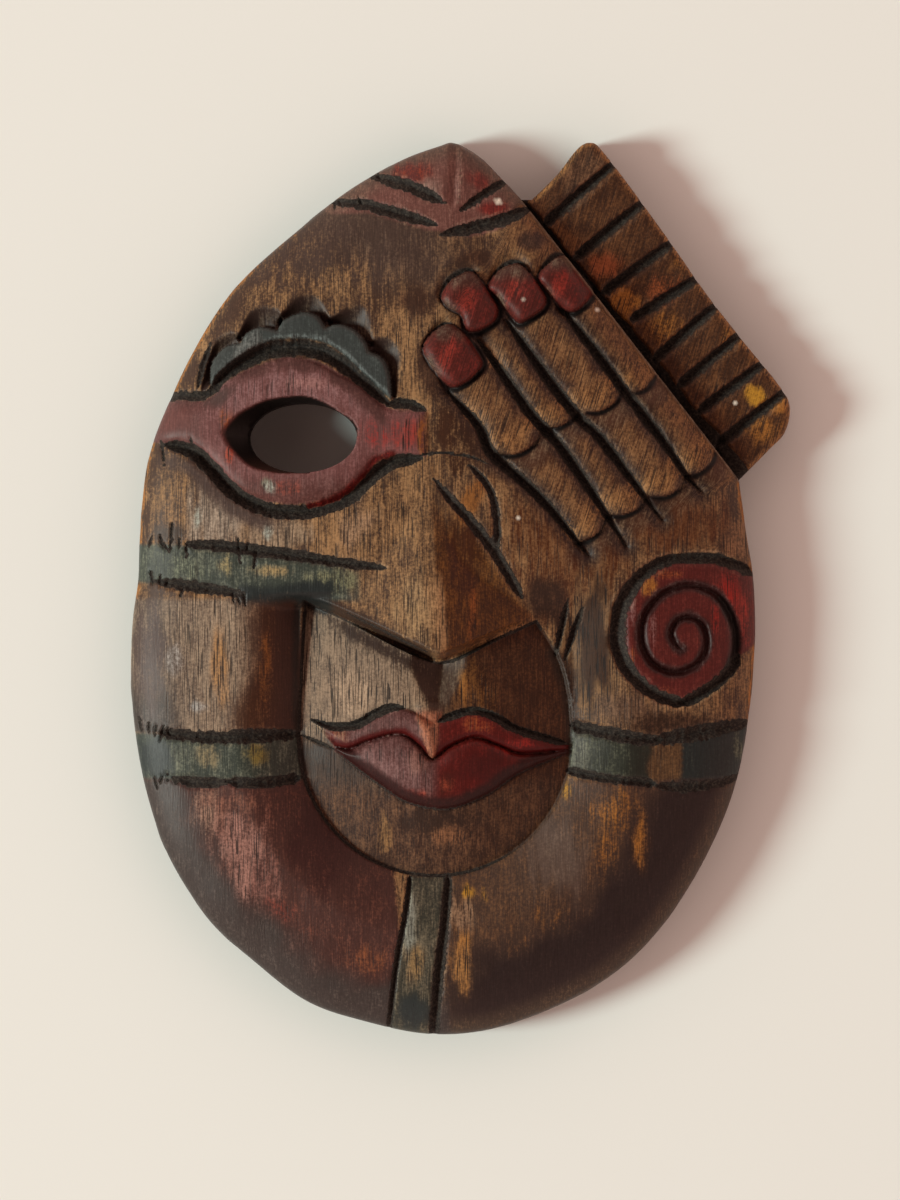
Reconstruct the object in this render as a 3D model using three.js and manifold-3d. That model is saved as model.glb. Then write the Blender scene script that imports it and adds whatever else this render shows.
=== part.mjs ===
// Carved wooden wall mask lying on its back: +Z out of the face, +Y to the top of the head, millimetres.
// One piece of wood: an egg-shaped face, a ribbed crest beside it, one eye hole and a scooped back.
import * as THREE from 'three';
import { mergeVertices } from 'three/addons/utils/BufferGeometryUtils.js';
import Module from 'manifold-3d';

const wasm = await Module();
wasm.setup();

// Block: heights above the flat back rim
const EDGE_HEIGHT = 8.5;
const ROUNDING_HEIGHT = 6;
const ROUNDING_WIDTH = 14;
const DOME_HEIGHT = 13;
const HAND_EDGE_RISE = 6;
const HAND_EDGE_DEGREES = { from: 18, full: 30, fading: 72, to: 86 };
const CREST_HEIGHT = 11.5;
const CREST_BEVEL = 1.6;
const RIM_WIDTH = 14;
const HOLLOW_DEPTH = 8;

// Band of cheeks and chin, which slopes down to the sunk field around the mouth
const BAND_DROP = { left: 9, right: 6.8 };
const BAND_SLOPE_WIDTH = 17;
const BAND_TOP = { left: { from: -1, full: -6 }, right: { from: 10, full: -12 } };
const MUZZLE_CENTRE = new THREE.Vector2(-7.2, -42);
const MUZZLE_RADIUS = 38.4;
const MUZZLE_HEIGHT = 23.5;
const MUZZLE_TOP = new THREE.Vector2(-6, -35);
const MUZZLE_DROP = { left: 9.5, right: 7.5, above: 3, below: 6.5 };

// Nose, a wedge with its highest point at the tip
const NOSE_BRIDGE = new THREE.Vector3(-9, 36, 25.5);
const NOSE_LEFT = new THREE.Vector3(-44.5, -3, 22.5);
const NOSE_RIGHT = new THREE.Vector3(21, -9, 20.5);
const NOSE_TIP = new THREE.Vector3(-6, -20.5, 36);
const BRIDGE_WIDTH = 2;

// Eye hole, pads and cuts
const HOLE_CENTRE = new THREE.Vector2(-44, 42);
const HOLE_RADII = new THREE.Vector2(15.1, 9.8);
const FUNNEL_DEPTH = 5;
const PAD_RISE = 2;
const LIP_RISE = 2.4;
const NAIL_RISE = 2.3;
const NAIL_HALF_LENGTH = 8.2;
const NAIL_HALF_WIDTH = 5.6;
const FINGER_DEGREES = -53;
const WIDE_CUT = { width: 3.6, depth: 2.2 };
const FINE_CUT = { width: 2.2, depth: 1.4 };
const BURIED = 3;
const CLEARANCE = 4;

const FACE_CENTRE = new THREE.Vector2(-4, -4);

const vector = ([x, y]) => new THREE.Vector2(x, y);

// Goes from 0 to 1 as value goes from one limit to the other
function rising(from, to, value) {
  const { smoothstep } = THREE.MathUtils;
  return from < to ? smoothstep(value, from, to) : 1 - smoothstep(value, to, from);
}

function curveThrough(points, count) {
  return new THREE.SplineCurve(points.map(vector)).getSpacedPoints(count);
}

// Outlines, seen from the front
const HAND_CORNER = [78, 30.5];
const CREST_CORNER = [17, 109];
const faceSpline = new THREE.SplineCurve([
  HAND_CORNER, [80, 16.5], [82, 2.5], [82.5, -14.5], [80.5, -37.5], [75.5, -60], [64.5, -83],
  [50.5, -101.5], [33.5, -114], [11, -123], [-8.5, -125], [-28.5, -121], [-43.5, -115.6], [-57.5, -105],
  [-70.5, -93], [-81.5, -76], [-87.5, -59.5], [-91, -42.5], [-92.5, -25.5], [-92, -9], [-90.5, 2.5],
  [-90, 15], [-88, 34.5], [-82.5, 50.5], [-72.5, 71], [-61.4, 86.4], [-44.6, 101.4], [-31, 112], [-17, 120],
  [-6.5, 124], [-1.5, 125], [5.5, 121], [11, 115.5], CREST_CORNER,
].map(vector));
const handEdge = new THREE.LineCurve(vector(CREST_CORNER), vector(HAND_CORNER));
const faceOutline = (roundSteps, straightSteps) => [
  ...faceSpline.getSpacedPoints(roundSteps).slice(0, -1),
  ...handEdge.getSpacedPoints(straightSteps).slice(0, -1),
];
const faceRim = faceOutline(78, 10);

const crestOutline = new THREE.Shape([
  ...curveThrough([
    [20, 109], [22.6, 111.4], [27.5, 116.5], [33, 123.5], [36.5, 125], [39.5, 123], [48, 112],
  ], 10),
  ...curveThrough([[58.5, 97.5], [69, 82.5], [79.5, 69], [88.5, 58], [92.5, 50], [91, 44], [78, 31]], 12),
  new THREE.Vector2(62, 30),
  new THREE.Vector2(12, 98),
]);

// Distance from the centre of the face to its outline, by direction
const rimByAngle = faceRim
  .map((point) => {
    const arm = point.clone().sub(FACE_CENTRE);
    return { angle: Math.atan2(arm.y, arm.x), length: arm.length() };
  })
  .sort((a, b) => a.angle - b.angle);

function rimDistance(angle) {
  const after = rimByAngle.findIndex((entry) => entry.angle > angle);
  const next = rimByAngle[after < 0 ? 0 : after];
  const last = rimByAngle[(after < 0 ? rimByAngle.length : after || rimByAngle.length) - 1];
  const span = (next.angle - last.angle + 2 * Math.PI) % (2 * Math.PI);
  const part = ((angle - last.angle + 2 * Math.PI) % (2 * Math.PI)) / span;
  return THREE.MathUtils.lerp(last.length, next.length, part);
}

// Heights of the carved surface
function faceHeight(x, y) {
  const arm = new THREE.Vector2(x, y).sub(FACE_CENTRE);
  const angle = Math.atan2(arm.y, arm.x);
  const reach = rimDistance(angle);
  const inward = Math.max(reach - arm.length(), 0);
  const share = Math.min(arm.length() / reach, 1);
  const rounding = 1 - Math.min(inward / ROUNDING_WIDTH, 1);
  const degrees = THREE.MathUtils.radToDeg(angle);
  const { from, full, fading, to } = HAND_EDGE_DEGREES;
  const besideHand = rising(from, full, degrees) * rising(to, fading, degrees);
  const across = x - MUZZLE_CENTRE.x;
  const fromMouth = Math.max(Math.hypot(across, Math.min(y - MUZZLE_CENTRE.y, 0)), 1);
  const slope = 1 - THREE.MathUtils.clamp((fromMouth - MUZZLE_RADIUS) / BAND_SLOPE_WIDTH, 0, 1);
  const bandDrop = THREE.MathUtils.lerp(BAND_DROP.right, BAND_DROP.left, Math.max(-across / fromMouth, 0));
  const bandTop = across < 0 ? BAND_TOP.left : BAND_TOP.right;
  return EDGE_HEIGHT + HAND_EDGE_RISE * besideHand * share ** 3
    + ROUNDING_HEIGHT * Math.sqrt(1 - rounding ** 2)
    + DOME_HEIGHT * (1 - share ** 2)
    - bandDrop * slope ** 1.5 * rising(bandTop.from, bandTop.full, y);
}

function muzzleHeight(x, y) {
  const across = (x - MUZZLE_TOP.x) / MUZZLE_RADIUS;
  const along = (y - MUZZLE_TOP.y) / MUZZLE_RADIUS;
  const sideDrop = across < 0 ? MUZZLE_DROP.left : MUZZLE_DROP.right;
  const endDrop = along < 0 ? MUZZLE_DROP.below : MUZZLE_DROP.above;
  return MUZZLE_HEIGHT - sideDrop * Math.abs(across) ** 1.6 - endDrop * along ** 2;
}

function planeHeight(a, b, c) {
  const plane = new THREE.Plane().setFromCoplanarPoints(a, b, c);
  return (x, y) => -(plane.normal.x * x + plane.normal.y * y + plane.constant) / plane.normal.z;
}

const leftOfNose = planeHeight(NOSE_BRIDGE, NOSE_LEFT, NOSE_TIP);
const rightOfNose = planeHeight(NOSE_BRIDGE, NOSE_TIP, NOSE_RIGHT);
const noseHeight = (x, y) => Math.min(leftOfNose(x, y), rightOfNose(x, y));
const noseTriangle = new THREE.Triangle(
  ...[NOSE_BRIDGE, NOSE_LEFT, NOSE_RIGHT].map(({ x, y }) => new THREE.Vector3(x, y, 0)),
);

function surfaceHeight(x, y) {
  const onNose = noseTriangle.containsPoint(new THREE.Vector3(x, y, 0));
  return Math.max(faceHeight(x, y), onNose ? noseHeight(x, y) : 0);
}

// Solids from meshes, for joining and cutting, turned right side out where their rim runs clockwise
function toSolid(geometry) {
  const corners = geometry.index.array;
  const kept = [];
  const mirrored = [];
  for (let i = 0; i < corners.length; i += 3) {
    const [a, b, c] = corners.slice(i, i + 3);
    if (a !== b && b !== c && c !== a) {
      kept.push(a, b, c);
      mirrored.push(c, b, a);
    }
  }
  const vertProperties = geometry.attributes.position.array;
  const [solid, mirror] = [kept, mirrored].map((triangles) => new wasm.Manifold(
    new wasm.Mesh({ numProp: 3, vertProperties, triVerts: new Uint32Array(triangles) }),
  ));
  return solid.volume() > 0 ? solid : mirror;
}

function bareMesh(geometry) {
  geometry.deleteAttribute('normal');
  geometry.deleteAttribute('uv');
  return mergeVertices(geometry);
}

// A closed body between two edge lines: place(across, along) gives [x, y], low and high give heights
function stripSolid(acrossSteps, alongSteps, place, low, high) {
  const geometry = bareMesh(new THREE.BoxGeometry(1, 1, 1, acrossSteps, alongSteps, 1));
  const { position } = geometry.attributes;
  for (let i = 0; i < position.count; i += 1) {
    const across = position.getX(i) + 0.5;
    const along = position.getY(i) + 0.5;
    const [x, y] = place(across, along);
    position.setXYZ(i, x, y, position.getZ(i) > 0 ? high(across, along, x, y) : low(across, along, x, y));
  }
  return toSolid(geometry);
}

// A closed body over a rim of 4 n points that its centre can see whole: a square grid spread to the rim
function dishSolid(rim, centre, low, high, ringAt = (share) => share) {
  const steps = rim.length / 4;
  const geometry = bareMesh(new THREE.BoxGeometry(2, 2, 1, steps, steps, 1));
  const { position } = geometry.attributes;
  for (let i = 0; i < position.count; i += 1) {
    const a = position.getX(i);
    const b = position.getY(i);
    const share = Math.max(Math.abs(a), Math.abs(b));
    const edge = rimPoint(rim, eighthsRound(a, b));
    const ring = ringAt(Math.min(share, 1));
    const { x, y } = centre.clone().lerp(edge, ring);
    position.setXYZ(i, x, y, position.getZ(i) > 0 ? high(x, y, ring) : low(x, y, ring));
  }
  return toSolid(geometry);
}

// How far round its square a grid point lies, in eighths of a turn
function eighthsRound(a, b) {
  if (Math.max(Math.abs(a), Math.abs(b)) < 1e-6) return 0;
  if (Math.abs(a) >= Math.abs(b)) return (a > 0 ? 8 : 4) + b / a;
  return (b > 0 ? 2 : 6) - a / b;
}

function rimPoint(rim, eighths) {
  const place = ((eighths % 8) / 8) * rim.length;
  const before = Math.floor(place + 1e-6);
  return rim[before % rim.length].clone().lerp(rim[(before + 1) % rim.length], Math.max(place - before, 0));
}

// A V-shaped cut along a line, as wide and deep as asked where it meets the surface, narrower at its ends
function groove(line, { width, depth, taper = 0.25, height = surfaceHeight }) {
  const LIFT = 1;
  const BLUNT_END = 0.03;
  const last = line.length - 1;
  const fullness = (along) => Math.sqrt(Math.min(1, (Math.min(along, 1 - along) + BLUNT_END) / taper));
  const place = (across, along) => {
    const i = Math.round(along * last);
    const ahead = line[Math.min(i + 1, last)].clone().sub(line[Math.max(i - 1, 0)]).normalize();
    const reach = (across - 0.5) * width * fullness(along) * (1 + LIFT / depth);
    return [line[i].x - ahead.y * reach, line[i].y + ahead.x * reach];
  };
  const low = (across, along, x, y) => height(x, y) + (across === 0.5 ? -depth * fullness(along) : LIFT);
  const high = (across, along, x, y) => height(x, y) + CLEARANCE;
  return stripSolid(2, last, place, low, high);
}

// A rounded pad between two edge lines, its edges just under the surface
function pad(edgeA, edgeB, { rise = PAD_RISE, height = surfaceHeight, acrossSteps = 4 }) {
  const EDGE_DEPTH = 0.5;
  const last = edgeA.length - 1;
  const place = (across, along) => edgeA[Math.round(along * last)].clone()
    .lerp(edgeB[Math.round(along * last)], across).toArray();
  const low = (across, along, x, y) => height(x, y) - BURIED;
  const high = (across, along, x, y) => {
    const roundness = Math.sqrt(Math.max(Math.sin(Math.PI * across), 0));
    return height(x, y) + (rise + EDGE_DEPTH) * roundness - EDGE_DEPTH;
  };
  return stripSolid(acrossSteps, last, place, low, high);
}

// Face, crest and back
function faceBlock() {
  const closerAtEdge = (share) => 1 - (1 - share) ** 1.6;
  return dishSolid(faceRim, FACE_CENTRE, () => 0, faceHeight, closerAtEdge);
}

function crestPlate() {
  const geometry = new THREE.ExtrudeGeometry(crestOutline, {
    depth: CREST_HEIGHT - 2 * CREST_BEVEL,
    bevelThickness: CREST_BEVEL,
    bevelSize: CREST_BEVEL,
    bevelOffset: -CREST_BEVEL,
    bevelSegments: 2,
  });
  geometry.translate(0, 0, CREST_BEVEL);
  return toSolid(bareMesh(geometry));
}

function backHollow() {
  const MOUTH_DEPTH = 0.4;
  const rim = faceOutline(38, 6).map((point) => {
    const arm = point.clone().sub(FACE_CENTRE);
    return arm.setLength(arm.length() - RIM_WIDTH).add(FACE_CENTRE);
  });
  const closerAtEdge = (share) => 1 - (1 - share) ** 1.5;
  const roof = (x, y, ring) => HOLLOW_DEPTH * Math.sqrt(Math.max(1 - ring ** 4, 0)) - MOUTH_DEPTH * ring ** 8;
  return dishSolid(rim, FACE_CENTRE, () => -CLEARANCE, roof, closerAtEdge);
}

// Nose and the round field around the mouth
function muzzleField() {
  const { x, y } = MUZZLE_CENTRE;
  const [left, tip, right] = [NOSE_LEFT, NOSE_TIP, NOSE_RIGHT].map((corner) => vector(corner.toArray()));
  const besideMouth = new THREE.Vector2(x - MUZZLE_RADIUS, y);
  const lowerRound = new THREE.EllipseCurve(x, y, MUZZLE_RADIUS, MUZZLE_RADIUS, Math.PI, 2 * Math.PI);
  const rightOfMouth = new THREE.Vector2(x + MUZZLE_RADIUS, y);
  const rim = [
    ...new THREE.LineCurve(left, besideMouth).getPoints(4).slice(0, -1),
    ...lowerRound.getPoints(16).slice(0, -1),
    ...new THREE.QuadraticBezierCurve(rightOfMouth, vector([32, -26]), right).getPoints(5).slice(0, -1),
    ...new THREE.LineCurve(right, tip).getPoints(3).slice(0, -1),
    ...new THREE.LineCurve(tip, left).getPoints(4).slice(0, -1),
  ];
  return dishSolid(rim, MUZZLE_CENTRE, muzzleHeight, () => NOSE_TIP.z + CLEARANCE);
}

function noseWedge() {
  const foot = [NOSE_LEFT, NOSE_TIP, NOSE_RIGHT];
  const place = (across, along) => {
    const from = foot[Math.round(across * 2)];
    const bridge = NOSE_BRIDGE.clone();
    bridge.x += (across - 0.5) * BRIDGE_WIDTH;
    const { x, y } = bridge.lerp(from, 1 - along);
    return [x, y];
  };
  return stripSolid(2, 2, place, () => EDGE_HEIGHT, (across, along, x, y) => noseHeight(x, y));
}

function lips() {
  const LIP_STEPS = 14;
  const top = [
    [-42, -37], [-36, -38.5], [-29, -38], [-24, -35], [-18, -33], [-12, -35], [-8, -37.5], [-4, -36],
    [3, -34], [9, -35.5], [15, -39], [23, -41.5], [30, -43.5],
  ];
  const middle = [
    [-37, -44], [-31, -44.5], [-25.5, -42.5], [-17, -40.5], [-12, -43.5], [-8, -47.5], [-3, -44],
    [4, -41.5], [10, -43.5], [17, -45.5], [30, -45],
  ];
  const bottom = [[-36, -46], [-29.5, -49.5], [-20, -56.5], [-8, -60.5], [4, -58.5], [17, -51.5], [30, -46]];
  const [upper, between, lower] = [top, middle, bottom].map((line) => curveThrough(line, LIP_STEPS));
  const rounded = { height: muzzleHeight, rise: LIP_RISE };
  return [pad(between, upper, rounded), pad(lower, between, rounded)];
}

function philtrum() {
  const line = curveThrough([[-6, -19], [-6.5, -28], [-7.5, -37]], 3);
  return groove(line, { width: 12, depth: 3.5, taper: 0.03, height: muzzleHeight });
}

// Eye, its red ring and the scalloped brow
const RING_STEPS = 18;
const ringTop = curveThrough([
  [-84, 49.5], [-75, 51.5], [-66, 56], [-56.5, 61.5], [-45, 63.5], [-34, 59.5], [-25.5, 53], [-19, 50],
  [-10, 49],
], RING_STEPS);
const ringBottom = curveThrough([
  [-87, 42.5], [-79, 41], [-72, 39.5], [-66, 32], [-57, 24.5], [-45, 23.5], [-34, 27], [-25, 34], [-18, 37.5],
  [-10, 38],
], RING_STEPS);

function eyeFunnel() {
  const SIDES = 24;
  const ABOVE_PAD = 0.3;
  const almond = curveThrough([
    [-29, 43], [-33, 49], [-42, 53], [-53, 53.5], [-61, 50.5], [-66.5, 44], [-62, 37], [-54, 32], [-44, 32],
    [-34, 36], [-29, 43],
  ], SIDES);
  const geometry = bareMesh(new THREE.CylinderGeometry(1, 1, 1, SIDES, 1));
  const { position } = geometry.attributes;
  for (let i = 0; i < position.count; i += 1) {
    const ring = Math.hypot(position.getX(i), position.getZ(i));
    const turn = Math.atan2(position.getX(i), position.getZ(i)) / (2 * Math.PI);
    const arm = almond[Math.round((turn + 1) * SIDES) % SIDES].clone().sub(HOLE_CENTRE);
    const isTop = position.getY(i) > 0;
    if (!isTop) arm.divideScalar(arm.clone().divide(HOLE_RADII).length());
    const { x, y } = arm.multiplyScalar(ring).add(HOLE_CENTRE);
    position.setXYZ(i, x, y, faceHeight(x, y) + (isTop ? PAD_RISE + ABOVE_PAD : -FUNNEL_DEPTH));
  }
  return toSolid(geometry);
}

function eyeHole() {
  const ellipse = new THREE.Shape();
  ellipse.absellipse(...HOLE_CENTRE, ...HOLE_RADII, 0, 2 * Math.PI);
  const depth = NOSE_TIP.z + 2 * CLEARANCE;
  const geometry = new THREE.ExtrudeGeometry(ellipse, { depth, curveSegments: 24, bevelEnabled: false });
  geometry.translate(0, 0, -CLEARANCE);
  return toSolid(bareMesh(geometry));
}

function brow() {
  const LOBES = 5;
  const STEPS_A_LOBE = 5;
  const BROW_CENTRE = new THREE.Vector2(-46, 44);
  const WIDTH = { ends: 2.6, middle: 3.4, lobe: 2.4 };
  const lower = curveThrough(
    [[-70, 57.5], [-64, 63], [-56, 66.5], [-46, 67.5], [-36, 65], [-27, 59.5], [-19.5, 53]],
    LOBES * STEPS_A_LOBE,
  );
  const upper = lower.map((point, i) => {
    const along = i / (LOBES * STEPS_A_LOBE);
    const lobe = Math.abs(Math.sin(Math.PI * LOBES * along)) ** 0.6;
    const width = WIDTH.ends + WIDTH.middle * Math.sin(Math.PI * along) + WIDTH.lobe * lobe;
    const arm = point.clone().sub(BROW_CENTRE);
    return arm.setLength(arm.length() + width).add(BROW_CENTRE);
  });
  return pad(lower, upper, { acrossSteps: 3 });
}

// Hand: four fingers with red nails, lying aslant over the other eye
const fingerTurn = THREE.MathUtils.degToRad(FINGER_DEGREES);
const alongFinger = new THREE.Vector2(Math.cos(fingerTurn), Math.sin(fingerTurn));
const acrossFinger = new THREE.Vector2(-alongFinger.y, alongFinger.x);
const nailCentres = [[-2, 65], [2.5, 79.5], [16.5, 82], [28.5, 85.5]].map(vector);

function nailRim(centre, grow, from = 0, to = 2 * Math.PI, steps = 16) {
  const squarer = (value) => Math.sign(value) * Math.abs(value) ** 0.75;
  return Array.from({ length: steps + 1 }, (_, i) => {
    const angle = THREE.MathUtils.lerp(from, to, i / steps);
    return centre.clone()
      .addScaledVector(alongFinger, squarer(Math.cos(angle)) * (NAIL_HALF_LENGTH + grow))
      .addScaledVector(acrossFinger, squarer(Math.sin(angle)) * (NAIL_HALF_WIDTH + grow));
  });
}

function nail(centre) {
  const EDGE_DEPTH = 0.3;
  const rim = nailRim(centre, 0).slice(0, -1);
  const low = (x, y) => faceHeight(x, y) - BURIED;
  const high = (x, y, ring) => faceHeight(x, y) + NAIL_RISE * (1 - ring ** 3) - EDGE_DEPTH * ring ** 3;
  return dishSolid(rim, centre, low, high);
}

function handCuts() {
  const fingerLines = [
    [[-4, 56], [5.5, 44.5], [8, 37.5], [16.5, 30.5], [25, 22], [35.5, 9]],
    [[4, 69.5], [11.5, 60], [19.5, 48.5], [28, 39], [40.5, 20.5], [45.5, 13.5]],
    [[12, 75.5], [22, 61.5], [32, 48.5], [39, 41.5], [51.5, 25], [56, 19]],
    [[28, 78], [39, 64], [46, 54.5], [56, 41.5], [62.5, 32], [67, 27]],
  ];
  const knuckleLines = [
    [[10, 37.5], [15, 37.5], [21.5, 41.5]], [[31.5, 13.5], [36.5, 14.5], [40.5, 20]],
    [[22, 45.5], [27, 45.5], [32.5, 48.5]], [[41, 21], [46, 21], [51, 24.5]],
    [[34.5, 49.5], [39, 50], [44.5, 54]], [[52.5, 26], [58, 26], [62, 31]],
    [[47.5, 55], [51.5, 56], [54.5, 60]], [[61.5, 32], [66.5, 33], [71, 38.5]],
  ];
  return [
    ...fingerLines.map((line) => groove(curveThrough(line, 8), { ...WIDE_CUT, taper: 0.15 })),
    ...knuckleLines.map((line) => groove(curveThrough(line, 4), FINE_CUT)),
    ...nailCentres.map((centre) => groove(nailRim(centre, 2, 0.6 * Math.PI, 1.5 * Math.PI, 6), WIDE_CUT)),
  ];
}

// Crest: blocks parted by slanting cuts, and a channel where it meets the hand
function crestCuts() {
  const slants = [
    [[24, 102.5], [44.5, 120.5]], [[32.5, 93], [52, 109]], [[40.5, 83], [60.5, 98]], [[48.5, 76], [68.5, 88]],
    [[55, 64.5], [73.5, 81]], [[62, 57.5], [80, 72.5]], [[67.5, 50], [86.5, 64]], [[73, 41], [92.5, 56]],
  ];
  const channel = [[20, 106], [49, 69], [77, 32]];
  const flat = { height: () => CREST_HEIGHT, taper: 0.1 };
  return [
    ...slants.map((line) => groove(curveThrough(line, 2), { ...WIDE_CUT, ...flat })),
    groove(curveThrough(channel, 2), { ...flat, width: 5, depth: 3 }),
  ];
}

// Spiral on the cheek: turning angle in degrees and distance from its centre
function spiralCut() {
  const centre = new THREE.Vector2(62.5, -12);
  const turns = [
    [42, 24.5], [75, 21.8], [112, 20.6], [151, 20.2], [190, 20.4], [223, 19.8], [256, 20.2], [280, 19],
    [322, 15.8], [351, 14.8], [384, 13.7], [421, 12.9], [464, 12.6], [513, 12.6], [560, 12.4], [603, 11.2],
    [650, 9.6], [684, 8.6], [734, 5.8], [810, 4.2], [900, 3.9], [960, 3.8],
  ];
  const points = turns.map(([degrees, radius]) => {
    const angle = THREE.MathUtils.degToRad(degrees);
    return [centre.x + radius * Math.cos(angle), centre.y + radius * Math.sin(angle)];
  });
  return groove(curveThrough(points, 52), { width: 3, depth: 1.8, taper: 0.05 });
}

// Cap, brow line, ring line, cheek bands, chin band and nose lines
function otherCuts() {
  const [wide, fine] = [WIDE_CUT, FINE_CUT];
  const lines = [
    [[[-24, 115], [-14, 112], [-5, 107.5]], 4, wide],
    [[[-37, 106.5], [-26, 106.5], [-17, 104], [-7.5, 101.5]], 5, wide],
    [[[-2, 126], [-2, 116], [-2.5, 107]], 3, fine],
    [[[13.5, 114], [7, 110.5], [0, 106]], 4, wide],
    [[[19, 107], [12.5, 103.5], [4, 101], [-4.5, 99]], 5, wide],
    [[[-69.5, 54.5], [-60, 62.5], [-47, 66], [-33, 63], [-20.5, 54]], 9, wide],
    [[[-20.5, 51.5], [-15.5, 52], [-10, 50]], 3, wide],
    [[
      [-84, 39], [-76, 40], [-71, 35], [-64, 27], [-54, 22], [-43.5, 20.5], [-33, 23.5], [-23, 30.5],
      [-11, 36],
    ], 13, wide],
    [[[-88, 13], [-73, 13], [-57, 10.5], [-40, 8], [-19, 5.5]], 7, wide],
    [[[-88, 1.5], [-75, 0.5], [-62, -1.5], [-54, -2.5]], 4, wide],
    [[[-89, -39.5], [-78, -41.5], [-62, -41], [-44, -40.5]], 5, wide],
    [[[-88, -52.5], [-71, -55], [-58, -54], [-41, -52.5]], 5, fine],
    [[[30, -37.5], [41, -40.5], [53, -42.5], [66, -40.5], [82, -37]], 6, wide],
    [[[28, -51], [41, -53], [54, -55], [66, -55], [79, -52]], 6, fine],
    [[[-15, -80], [-17, -98], [-18.5, -110], [-20.5, -125]], 5, fine],
    [[[-4, -80], [-5, -96], [-6, -110], [-7.5, -127]], 5, fine],
    [[[-9, 33], [-3, 25], [2.5, 19], [10, 10], [19, -5]], 6, wide],
    [[[2.5, 34.5], [8, 25], [10.5, 19], [11, 11]], 4, fine],
    [[[29, -4.5], [26, -18]], 2, fine],
    [[[33.5, -6], [28.5, -21]], 2, fine],
  ];
  return lines.map(([points, steps, size]) => groove(curveThrough(points, steps), size));
}

const added = [noseWedge(), ...lips(), pad(ringBottom, ringTop, {}), brow(), ...nailCentres.map(nail)];
const removed = [
  ...otherCuts(), ...handCuts(), ...crestCuts(), spiralCut(), philtrum(),
  eyeFunnel(), eyeHole(), backHollow(),
];
const block = faceBlock().add(crestPlate()).subtract(muzzleField());
const carving = wasm.Manifold.union([block, ...added]).subtract(wasm.Manifold.union(removed));

const { vertProperties, triVerts } = carving.getMesh();
const geometry = new THREE.BufferGeometry();
geometry.setAttribute('position', new THREE.BufferAttribute(vertProperties, 3));
geometry.setIndex(new THREE.BufferAttribute(triVerts, 1));
geometry.computeVertexNormals();

const wood = new THREE.MeshStandardMaterial({ color: 0x5b4030, roughness: 0.62, metalness: 0 });
const mask = new THREE.Mesh(geometry, wood);
mask.name = 'mask';

const group = new THREE.Group();
group.add(mask);

export default group;
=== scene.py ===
"""Carved and painted wall mask lying on its back on a pale floor, seen from straight above.

The whole front is one carved height map: functions below lay the forms, cuts and paint over points of
the plane, which are complex numbers x + yi in millimetres, with +y to the top of the head.
"""
import math

import bpy
import numpy as np
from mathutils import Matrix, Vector
from mathutils.geometry import delaunay_2d_cdt


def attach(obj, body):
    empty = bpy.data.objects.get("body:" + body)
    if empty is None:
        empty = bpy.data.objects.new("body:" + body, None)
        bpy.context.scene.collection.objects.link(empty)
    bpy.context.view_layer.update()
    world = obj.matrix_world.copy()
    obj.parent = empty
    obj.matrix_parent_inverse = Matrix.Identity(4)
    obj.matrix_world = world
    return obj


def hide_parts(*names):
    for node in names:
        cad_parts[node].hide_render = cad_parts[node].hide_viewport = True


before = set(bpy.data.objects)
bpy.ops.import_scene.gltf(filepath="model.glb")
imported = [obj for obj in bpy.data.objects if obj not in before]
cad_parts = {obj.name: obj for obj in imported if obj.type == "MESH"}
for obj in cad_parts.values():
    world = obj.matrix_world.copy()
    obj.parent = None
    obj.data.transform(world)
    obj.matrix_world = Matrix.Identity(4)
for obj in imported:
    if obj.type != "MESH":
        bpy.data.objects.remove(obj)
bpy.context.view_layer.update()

MM = 0.001

# Block, heights above the flat back rim
FACE_CENTRE = -4 - 4j
EDGE_HEIGHT = 8.5
ROUNDING_HEIGHT = 6
ROUNDING_WIDTH = 14
DOME_HEIGHT = 13
HAND_EDGE_RISE = 6
HAND_EDGE_DEGREES = (18, 30, 72, 86)
CREST_HEIGHT = 11.5
CREST_BEVEL = 1.8
CREST_BEVEL_WIDTH = 2.2
RIM_WIDTH = 14
HOLLOW_DEPTH = 8

# Band of cheeks and chin, and the sunk field around the mouth
BAND_DROP_LEFT = 9
BAND_DROP_RIGHT = 6.8
BAND_SLOPE_WIDTH = 17
BAND_TOP_LEFT = (-1, -6)
BAND_TOP_RIGHT = (10, -12)
MUZZLE_CENTRE = -7.2 - 42j
MUZZLE_RADIUS = 38.4
MUZZLE_HEIGHT = 23.5
MUZZLE_TOP = -6 - 35j
MUZZLE_DROP_LEFT = 9.5
MUZZLE_DROP_RIGHT = 7.5
MUZZLE_DROP_ABOVE = 3
MUZZLE_DROP_BELOW = 6.5

# Nose, a wedge with its highest point at the tip. The blur softens the line where its sides' paint meets; the
# right side's darker paint is partly painted shade.
NOSE_BRIDGE = (-9 + 36j, 25.5)
NOSE_LEFT = (-44.5 - 3j, 22.5)
NOSE_RIGHT = (21 - 9j, 20.5)
NOSE_TIP = (-6 - 20.5j, 36)
RIDGE_ROUNDING = 0.8
RIDGE_WIDTH = 4
RIDGE_BLUR = 40

# Eye
HOLE_CENTRE = -44 + 42j
HOLE_RADII = (15.1, 9.8)
FUNNEL_DEPTH = 5
RING_RISE = 1.8

# Mesh spacing, and the raster on which bends are looked for
RIM_STEP = 0.62
FINE_STEP = 0.46
COARSE_STEP = 0.96
BACK_STEP = 2.6
FINE_SHARE = 0.28
RASTER_STEP = 0.8
RASTER_CORNER = (-96, -128)
CREASE_STEP = 0.45

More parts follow.
